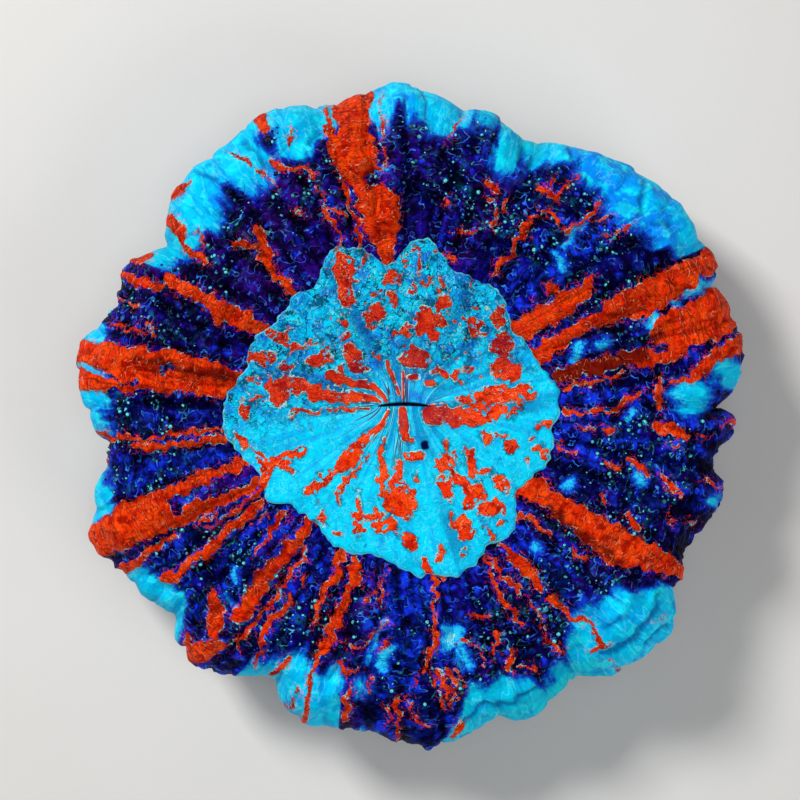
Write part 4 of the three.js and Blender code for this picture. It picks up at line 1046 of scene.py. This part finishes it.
@dataclass
class Mantle:
    """The ring of crumpled folds, from the foot of the oral disc over the margin to the stalk."""

    columns: int = 720
    top_rings: int = 112
    under_rings: int = 26
    fold_power: float = 0.7
    fold_room: float = 1.0
    knob_spacing: float = 7.4
    knob_rise: float = 0.75
    knob_turn: float = 2.1
    fringe: float = 1.2
    fringe_width: float = 8
    fringe_pitch: float = 1.7
    wander: float = 1.1
    wander_length: float = 26
    disc_gap: float = -0.7
    lump_strength: float = 0.7
    papilla_spacing: float = 2.1
    papilla_rise: float = 0.95
    red_rise: float = 0.45
    plate_pitch: float = 3.1
    cap_rise: float = 0.35

    def grid(self) -> tuple[np.ndarray, np.ndarray]:
        """The place along the section and the angle of every point, ring by ring."""
        top = np.linspace(0, MARGIN_PLACE, self.top_rings)
        under = np.linspace(MARGIN_PLACE, len(SECTION) - 1, self.under_rings + 1)[1:]
        places = np.repeat(np.concatenate([top, under]), self.columns)
        angles = np.tile(np.arange(self.columns) * 360 / self.columns, self.top_rings + self.under_rings)
        return places, angles

    def travel(self, place: np.ndarray, reach: np.ndarray, outer: np.ndarray, height: np.ndarray) -> np.ndarray:
        """Distance from the mouth that goes on growing past the margin, so that bands run on beneath."""
        below = SECTION[MARGIN_PLACE, 1] - height
        return np.where(place > MARGIN_PLACE, outer + np.hypot(below, outer - reach), reach)

    def fields(self, angle: np.ndarray, travel: np.ndarray, side: np.ndarray) -> dict[str, np.ndarray]:
        """Everything that the mantle's finish reads from its mesh.

        Args:
            angle: Each point's angle.
            travel: Its distance from the mouth over the surface.
            side: How far it lies from the nearest fold's crest.

        Returns:
            One number for each point, by name.
        """
        straight = polar(angle, travel)
        cap = travel - around(angle, CAP_EDGE[:, 0], CAP_EDGE[:, 1]) + noise_at(flat(straight), 3.5) * 2.2
        sideways = self.fringe * ridges_at(angle, travel, self.fringe_width, self.fringe_pitch) / travel
        sideways *= 1 - 0.75 * smooth(cap, -1, 1)
        shifted = frayed(frayed(polar(angle + np.degrees(sideways), travel), 3.4, 0.9), 1.5, 0.5)
        red = np.minimum(band_field(shifted, RED_BANDS), -band_field(shifted, DARK_THREADS))
        inlay = band_field(shifted, VIOLET_INLAYS)
        red = np.minimum(red, -inlay)
        cap = np.maximum(cap, spot_field(shifted, CAP_KNOBS))
        cap = np.clip(np.minimum(cap, -spot_field(shifted, CAP_HOLLOWS)), -6, 6)
        inward = travel - disc_reach(angle)
        glow = band_field(shifted, GLOW_SPOTS)
        clumps = smooth(noise_at(flat(straight), 5.5), -0.15, 0.35)
        strewn = smooth(inward, 6, 14) * smooth(inward, 36, 29) * smooth(np.maximum(red, glow), 0.3, -0.6)
        strewn *= around(angle, DARK_TINTS[:, 0], DARK_TINTS[:, 3]) * (0.2 + 0.8 * clumps) * smooth(cap, 0.2, -1.2)
        fields = {
            "red": red,
            "cap": cap,
            "glow": glow,
            "crest": 1 - side,
            "royal": around(angle, DARK_TINTS[:, 0], DARK_TINTS[:, 1]),
            "violet": np.maximum(around(angle, DARK_TINTS[:, 0], DARK_TINTS[:, 2]), smooth(inlay, -0.4, 0.6)),
            "teal": around(angle, CAP_EDGE[:, 0], CAP_EDGE[:, 2]),
            "crease": smooth(band_field(shifted, CAP_CREASES), -0.7, 0.3),
            # Painted shade: the red bands are drawn maroon along these strips.
            "maroon": smooth(band_field(shifted, SHADED_RED_BANDS), -0.8, 0.6),
            "papillate": strewn,
            "beneath": smooth(travel - margin_reach(angle), -1, 13),
            "inward": inward,
        }
        fields["relief"] = self.relief(angle, travel, fields)
        return fields

    def relief(self, angle: np.ndarray, travel: np.ndarray, fields: dict[str, np.ndarray]) -> np.ndarray:
        """Fine relief in millimetres: papillate folds, plated red bands and softly wrinkled caps."""
        spots = flat(polar(angle, travel))
        capped = smooth(fields["cap"], -1.2, 1.2)
        reddened = smooth(fields["red"], -0.4, 0.5)
        papillate = smooth(fields["inward"], 6, 14)
        knobby = self.papilla_rise * (knobs_at(spots, self.papilla_spacing) - 0.35)
        streaked = ridges_at(angle, travel, 2.6, 14) * 0.9
        frill = 1.3 * (knobs_at(spots + 11, 3.8) - 0.45) * smooth(fields["inward"], 24, 34)
        dark = knobby * papillate + streaked * (1 - 0.6 * papillate) + noise_at(spots + 90, 1.4) * 0.35 + frill
        plate = ((travel / self.plate_pitch + noise_at(spots + 20, 6) * 0.9) % 1.0) ** 1.5 - 0.4
        crinkled = noise_at(spots + 40, 1.7) * 0.5 + ridges_at(angle, travel, 3.4, 22) * 0.6
        red = self.red_rise + 0.55 * plate + crinkled
        cap = self.cap_rise + noise_at(spots + 60, 5) * 0.5 + noise_at(spots + 130, 2.2) * 0.28
        rough = dark * (1 - reddened) + red * reddened + noise_at(spots + 170, 4) * papillate
        wrinkled = ridges_at(angle, travel, 2.4, 16) * 0.5 + ridges_at(angle, travel, 1.2, 12) * 0.3
        return rough * (1 - capped) + (cap + 0.3 * reddened + wrinkled - 0.8 * fields["crease"]) * capped

    def build(self) -> bpy.types.Object:
        """Makes the mantle's mesh."""
        place, angle = self.grid()
        share, height, strength = along_section(place).T
        ahead = along_section(np.minimum(place + 0.05, len(SECTION) - 1))
        behind = along_section(np.maximum(place - 0.05, 0))
        inner, outer = disc_reach(angle) + self.disc_gap, margin_reach(angle) - self.fold_room
        run = (ahead[:, 0] - behind[:, 0]) * (outer - inner)
        climb = ahead[:, 1] - behind[:, 1]
        length = np.hypot(run, climb)
        reach = inner + (outer - inner) * share
        bent = angle + noise_at(flat(polar(angle, self.travel(place, reach, outer, height))), 9) * 60 / np.maximum(reach, 30)
        fold, side = fold_at(bent)
        drift = self.wander * np.sin(2 * np.pi * reach / self.wander_length + angle / 17)
        swayed = angle + drift * share * np.minimum(1, strength)
        puffed = FOLDS[fold, 2] * (1 - side**2) ** self.fold_power
        seen = (reach - strength * puffed * climb / length) * enlarged(height)
        travel = self.travel(place, seen, outer + SECTION[MARGIN_PLACE, 2] * puffed, height)
        fields = self.fields(swayed, travel, side)
        knob = self.knob_rise * np.sin(2 * np.pi * reach / self.knob_spacing + fold * self.knob_turn)
        capped = smooth(fields["cap"], -2, 3)
        fold_rise = puffed * (1 - 0.5 * capped) + knob
        lumps = np.zeros(len(angle))
        for at, distance, radius, rise in LUMPS:
            turn = np.radians(angle - at)
            apart = np.hypot(reach * np.cos(turn) - distance, reach * np.sin(turn))
            lumps += rise * np.maximum(0, 1 - (apart / radius) ** 2) ** 2
        lumps *= np.minimum(1, strength / self.lump_strength) * (place < MARGIN_PLACE)
        fine = fields["relief"] * np.minimum(1, 1.3 * strength)
        rise = strength * fold_rise + lumps + fine
        lifted = height + around(angle, MARGIN_LOBES[:, 0], MARGIN_LOBES[:, 4]) * strength
        plan = polar(swayed, reach - rise * climb / length) + MOUTH_AT
        points = np.column_stack([plan, lifted + rise * run / length]) * MM
        rings = self.top_rings + self.under_rings
        return make_piece("mantle", points, ring_faces(rings, self.columns, closed=True), fields)


@dataclass
class OralDisc:
    """The taut disc inside the folds, with the slit mouth in its middle."""

    columns: int = 540
    rings: int = 150
    lip_height: float = 32.8
    crown: float = 2.2
    lip_roll: float = 0.9
    roll_from: float = 0.975
    thickness: float = 4
    pleat_width: float = 9
    pleat_rise: float = 0.9
    edge_wave: float = 1.1
    slit_middle: tuple[float, float] = (0.9, 0.7)
    slit_half_length: float = 5.8
    slit_half_width: float = 0.42
    slit_bow: float = 0.5
    slit_depth: float = 3

    def fields(self, plan: np.ndarray, share: np.ndarray, angle: np.ndarray) -> dict[str, np.ndarray]:
        """Everything that the disc's finish reads from its mesh.

        Args:
            plan: Points about the mouth.
            share: How far out each lies, 1 at the lip.
            angle: Each point's angle.

        Returns:
            One number for each point, by name.
        """
        reach = np.hypot(*plan.T)
        loose = smooth(reach, 5, 15)
        shifted = frayed(frayed(plan, 3.4, 1.5), 1.5, 0.8)
        shifted = plan + (shifted - plan) * loose[:, None]
        red = np.maximum(blotch_field(shifted, DISC_BLOTCHES), band_field(shifted, DISC_STREAMS, is_polar=False))
        red += loose * noise_at(flat(plan) + 70, 1.6) * 0.35
        maroon = sum(np.exp(-(((plan[:, 0] - x) ** 2 + (plan[:, 1] - y) ** 2) / radius**2)) for x, y, radius in MAROON_SPOTS)
        upper = smooth(plan[:, 1] - 0.25 * plan[:, 0], -4, 12)
        pleat = ridges_at(angle, reach, self.pleat_width, 40)
        from_slit = (plan - self.slit_middle) / self.slit_half_length
        flow = np.arccosh(from_slit[:, 0] + 1j * from_slit[:, 1]).imag
        x, y, radius = NAVY_DOT
        apart = np.hypot(plan[:, 0] - x, plan[:, 1] - y) + noise_at(flat(plan), 1.2) * 0.5
        dot = smooth(radius - apart, -0.2, 0.3)
        return {
            "red": red,
            "fray": 0.3 + 1.5 * loose,
            "maroon": np.clip(maroon + 0.3 * upper, 0, 0.75),
            "azure": 0.55 * upper + 0.3 * smooth(reach, 16, 4),
            "grain": 0.2 + 0.8 * upper * loose,
            "pleat": pleat,
            # Painted shade where the pleats dip.
            "furrow_shade": smooth(pleat, -0.15, -0.5) * smooth(share, 0.1, 0.35) * smooth(share, 1, 0.8),
            "navy": np.maximum(self.slit(plan), dot),
            "from_mouth": reach,
            "flow_x": np.cos(flow),
            "flow_y": np.sin(flow),
            "share": share,
        }

    def slit(self, plan: np.ndarray) -> np.ndarray:
        """How far each point lies inside the mouth: 1 in its middle line and 0 outside."""
        along = (plan[:, 0] - self.slit_middle[0]) / self.slit_half_length
        middle = self.slit_middle[1] - self.slit_bow * along**2
        half_width = self.slit_half_width * np.sqrt(np.clip(1 - along**2, 0, 1)) + 1e-6
        return smooth(np.abs(plan[:, 1] - middle) / half_width, 1.3, 0.6) * (np.abs(along) < 1)

    def build(self) -> bpy.types.Object:
        """Makes the disc's mesh: its upper side, its rolled lip and a plain underside."""
        shares = np.linspace(0.004, 1, self.rings)
        angle = np.tile(np.arange(self.columns) * 360 / self.columns, self.rings)
        share = np.repeat(shares, self.columns)
        rim = flat(polar(angle, disc_reach(angle)))
        wave = self.edge_wave * (noise_at(rim, 3.4) + 0.6 * noise_at(rim + 40, 1.4))
        plan = polar(angle, share * disc_reach(angle) + wave * share**8)
        seen = plan * enlarged(DISC_HEIGHT)
        fields = self.fields(seen, share, angle)
        roll = -self.lip_roll * np.maximum(0, (share - self.roll_from) / (1 - self.roll_from)) ** 2
        pleat = self.pleat_rise * fields["pleat"] * smooth(share, 0.1, 0.5)
        spots = flat(plan)
        swell = noise_at(spots, 7) * 0.5 * smooth(share, 0.1, 0.5)
        swell += (noise_at(spots + 25, 3.6) * 0.9 + noise_at(spots + 50, 1.6) * 0.45) * fields["grain"] ** 2
        raised = 0.25 * smooth(fields["red"], -0.3, 0.4) * smooth(share, 0.1, 0.3)
        slit = -self.slit_depth * self.slit(seen)
        height = self.lip_height + self.crown * (1 - share**2) + roll + pleat + swell + raised + slit
        top = np.column_stack([plan + MOUTH_AT, height])
        edge = top[-self.columns :].copy()
        edge[:, 2] = self.lip_height - self.thickness
        middles = np.array([[*MOUTH_AT, top[0, 2]], [*MOUTH_AT, self.lip_height - self.thickness]])
        points = np.concatenate([top, edge, middles]) * MM
        last_ring = self.rings * self.columns
        faces = ring_faces(self.rings + 1, self.columns, closed=False)
        faces += cap_faces(self.columns, last_ring, len(points) - 2, len(points) - 1)
        spare = np.zeros(self.columns + 2)
        padded = {name: np.concatenate([values, spare]) for name, values in fields.items()}
        for values in padded.values():
            values[last_ring:-2] = values[last_ring - self.columns : last_ring]
            values[-2:] = values[0]
        return make_piece("oral_disc", points, faces, padded)


@dataclass
class Papillae:
    """The blister-like papillae strewn over the dark folds."""

    density: float = 0.7
    smallest: float = 0.2
    largest: float = 0.58
    seed: int = 7

    def bead_tree(self, material: bpy.types.Material) -> bpy.types.NodeTree:
        """Geometry nodes that strew beads over a mesh by its papillate field.

        Args:
            material: The beads' finish.

        Returns:
            The node group.
        """
        tree = bpy.data.node_groups.new("strew_papillae", "GeometryNodeTree")
        tree.interface.new_socket("Geometry", in_out="INPUT", socket_type="NodeSocketGeometry")
        for name, kind in (("Density", "Float"), ("Smallest", "Float"), ("Largest", "Float"), ("Seed", "Int")):
            tree.interface.new_socket(name, in_out="INPUT", socket_type=f"NodeSocket{kind}")
        tree.interface.new_socket("Geometry", in_out="OUTPUT", socket_type="NodeSocketGeometry")
        inlet = add_node(tree, "NodeGroupInput").outputs
        named = {"data_type": "FLOAT"}
        share = add_node(tree, "GeometryNodeInputNamedAttribute", named, {"Name": "papillate"}).outputs[0]
        crowd = add_node(tree, "ShaderNodeMath", {"operation": "MULTIPLY"}, {0: share, 1: inlet["Density"]}).outputs[0]
        strewn = add_node(tree, "GeometryNodeDistributePointsOnFaces", {"distribute_method": "RANDOM"},
                          {"Mesh": inlet["Geometry"], "Density": crowd, "Seed": inlet["Seed"]}).outputs
        bead = add_node(tree, "GeometryNodeMeshUVSphere", None, {"Segments": 6, "Rings": 4, "Radius": 1.0}).outputs[0]
        # How far each point of a bead faces one fixed slant: the side drawn as lit, for its painted highlight and
        # shade.
        place = add_node(tree, "GeometryNodeInputPosition").outputs[0]
        level = add_node(tree, "ShaderNodeVectorMath", {"operation": "DOT_PRODUCT"},
                         {0: place, 1: (-0.35, 0.35, 0.87)}).outputs["Value"]
        store = {"data_type": "FLOAT", "domain": "POINT"}
        bead = add_node(tree, "GeometryNodeStoreNamedAttribute", store,
                        {"Geometry": bead, "Name": "lit_side", "Value": level}).outputs[0]
        chance = add_node(tree, "FunctionNodeRandomValue", named, {2: 0.0, 3: 1.0, "Seed": 3}).outputs[1]
        rare = add_node(tree, "ShaderNodeMath", {"operation": "POWER"}, {0: chance, 1: 1.8}).outputs[0]
        size = add_node(tree, "ShaderNodeMapRange", None, {0: rare, 3: inlet["Smallest"], 4: inlet["Largest"]}).outputs[0]
        shape = add_node(tree, "FunctionNodeRandomValue", {"data_type": "FLOAT_VECTOR"},
                         {0: (0.6, 0.6, 0.8), 1: (1.4, 1.4, 1.7), "Seed": 5}).outputs[0]
        scale = add_node(tree, "ShaderNodeVectorMath", {"operation": "SCALE"}, {0: shape, "Scale": size}).outputs[0]
        placed = add_node(tree, "GeometryNodeInstanceOnPoints", None, {
            "Points": strewn["Points"], "Instance": bead, "Rotation": strewn["Rotation"], "Scale": scale,
        }).outputs[0]
        tint = add_node(tree, "FunctionNodeRandomValue", named, {2: 0.0, 3: 1.0, "Seed": 11}).outputs[1]
        placed = add_node(tree, "GeometryNodeStoreNamedAttribute", {"data_type": "FLOAT", "domain": "INSTANCE"},
                          {"Geometry": placed, "Name": "tint", "Value": tint}).outputs[0]
        real = add_node(tree, "GeometryNodeRealizeInstances", None, {0: placed}).outputs[0]
        rounded = add_node(tree, "GeometryNodeSetShadeSmooth", None, {0: real}).outputs[0]
        dressed = add_node(tree, "GeometryNodeSetMaterial", None, {"Geometry": rounded, "Material": material}).outputs[0]
        add_node(tree, "NodeGroupOutput", None, {0: dressed})
        return tree

    def build(self, mantle: bpy.types.Object, material: bpy.types.Material) -> bpy.types.Object:
        """Strews the beads over a copy of the mantle and keeps them as a plain mesh.

        Args:
            mantle: The finished mantle.
            material: The beads' finish.

        Returns:
            The beads as one object.
        """
        ground = bpy.data.objects.new("papillae_ground", mantle.data.copy())
        bpy.context.scene.collection.objects.link(ground)
        tree = self.bead_tree(material)
        modifier = ground.modifiers.new("strew", "NODES")
        modifier.node_group = tree
        values = {
            "Density": self.density / MM**2, "Smallest": self.smallest * MM, "Largest": self.largest * MM,
            "Seed": self.seed,
        }
        for item in tree.interface.items_tree:
            if item.in_out == "INPUT" and item.name in values:
                modifier[item.identifier] = values[item.name]
        evaluated = ground.evaluated_get(bpy.context.evaluated_depsgraph_get())
        mesh = bpy.data.meshes.new_from_object(evaluated)
        mesh.name = "papillae"
        bpy.data.objects.remove(ground)
        beads = bpy.data.objects.new("papillae", mesh)
        bpy.context.scene.collection.objects.link(beads)
        return beads


@dataclass
class Stalk:
    """The short ribbed stalk of the stony cup, which flares from the cut face to the mantle's underside."""

    columns: int = 720
    rings_below_neck: int = 10
    rings_above_neck: int = 12
    neck: float = 53
    neck_height: float = 4.6
    foot: float = 49
    tuck: float = 1.5
    tuck_height: float = 8.2
    rib_depth: float = 0.9
    ribs: int = 100

    def circle_reach(self, angle: np.ndarray, radius: float) -> np.ndarray:
        """The distance from the mouth to a circle about the origin."""
        heading = polar(angle, np.ones(len(angle)))
        ahead = heading @ MOUTH_AT
        return np.sqrt(ahead**2 - MOUTH_AT @ MOUTH_AT + radius**2) - ahead

    def build(self) -> bpy.types.Object:
        """Makes the stalk's mesh, closed above inside the mantle and below by the cut."""
        angle = np.arange(self.columns) * 360 / self.columns
        share = SECTION[-1, 0]
        inner, outer = disc_reach(angle), margin_reach(angle) - Mantle.fold_room
        top = inner + (outer - inner) * share + self.tuck
        neck, foot = self.circle_reach(angle, self.neck), self.circle_reach(angle, self.foot)
        rib = self.rib_depth * (np.abs(np.cos(np.radians(angle) * self.ribs / 2)) ** 1.5 - 1)
        rings = []
        for step in np.linspace(0, 1, self.rings_above_neck):
            height = self.tuck_height + (self.neck_height - self.tuck_height) * step
            rings.append((top + (neck - top) * step, rib * step, height + rib * (1 - step) * 0.5))
        for step in np.linspace(0, 1, self.rings_below_neck + 1)[1:]:
            rings.append((neck + (foot - neck) * step, rib, np.full(self.columns, self.neck_height * (1 - step))))
        grained = [np.column_stack([polar(angle, reach + groove) + MOUTH_AT, height]) for reach, groove, height in rings]
        points = np.concatenate(grained)
        points = np.concatenate([points, [[0, 0, self.tuck_height], [0, 0, 0]]]) * MM
        faces = ring_faces(len(rings), self.columns, closed=False)
        faces += cap_faces(self.columns, (len(rings) - 1) * self.columns, len(points) - 2, len(points) - 1)
        return make_piece("stalk", points, faces, {})


@dataclass
class Studio:
    """A pale floor, soft lights and the camera that looks straight down as the photograph does."""

    floor_side: float = 3.0
    floor_colour: str = "#E4E2DE"
    lens: float = 100
    camera_height: float = CAMERA_HEIGHT * MM
    above_mouth: float = 1.57 * MM

    def build(self) -> None:
        """Makes the floor, the lights, the world and the camera."""
        side = self.floor_side / 2
        corners = np.array([[-side, -side, 0], [side, -side, 0], [side, side, 0], [-side, side, 0]])
        floor = make_piece("floor", corners, [[0, 1, 2, 3]], {})
        paint = Paint("studio_paper")
        tone = paint.mix(paint.noise(60, 2, 3), self.floor_colour, "#DEDCD8")
        paper = Skin(roughness=0.9, ior=1.45, body=1.0, glow=0.0, relief=0.05)
        floor.data.materials.append(paint.finish(tone, paint.noise(1.5, 2, 1), paper))
        self.light("key", (-0.42, 0.4, 0.65), 0.2, 6.0)
        self.light("fill", (0.55, -0.45, 0.55), 0.5, 2.2)
        self.light("top", (0.05, -0.05, 1.0), 0.4, 1.6)
        world = bpy.data.worlds.new("studio_air")
        world.use_nodes = True
        world.node_tree.nodes["Background"].inputs["Color"].default_value = (0.9, 0.93, 1.0, 1)
        world.node_tree.nodes["Background"].inputs["Strength"].default_value = 0.1
        bpy.context.scene.world = world
        bpy.context.scene.view_settings.view_transform = "Standard"
        camera = bpy.data.cameras.new("camera")
        camera.lens = self.lens
        camera.clip_start = 0.01
        viewer = bpy.data.objects.new("camera", camera)
        viewer.location = (MOUTH_AT[0] * MM, MOUTH_AT[1] * MM + self.above_mouth, self.camera_height)
        bpy.context.scene.collection.objects.link(viewer)
        bpy.context.scene.camera = viewer

    def light(self, name: str, place: tuple[float, float, float], size: float, power: float) -> None:
        """Adds a soft square light that faces the coral.

        Args:
            name: The light's name.
            place: Where it hangs, in metres.
            size: Its side in metres.
            power: Its power in watts.
        """
        lamp = bpy.data.lights.new(name, "AREA")
        lamp.size = size
        lamp.energy = power
        hung = bpy.data.objects.new(name, lamp)
        hung.location = place
        hung.rotation_euler = (Vector((0, 0, 0.03)) - Vector(place)).to_track_quat("-Z", "Y").to_euler()
        bpy.context.scene.collection.objects.link(hung)


def main() -> None:
    """Builds every piece, dresses it and ties it to the frame."""
    logging.basicConfig(level=logging.INFO, format="%(message)s")
    log = logging.getLogger("coral")
    noise.seed_set(7)
    Studio().build()
    mantle = Mantle().build()
    mantle.data.materials.append(MantleTissue().build())
    disc = OralDisc().build()
    disc.data.materials.append(DiscTissue().build())
    beads = Papillae().build(mantle, PapillaSkin().build())
    stalk = Stalk().build()
    stalk.data.materials.append(CoralLimestone().build())
    for piece in (mantle, disc, beads, stalk):
        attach(piece, "root")
        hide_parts("coral")
        piece.data.calc_loop_triangles()
        log.info("%s: %d triangles", piece.name, len(piece.data.loop_triangles))


if __name__ == "__main__":
    main()
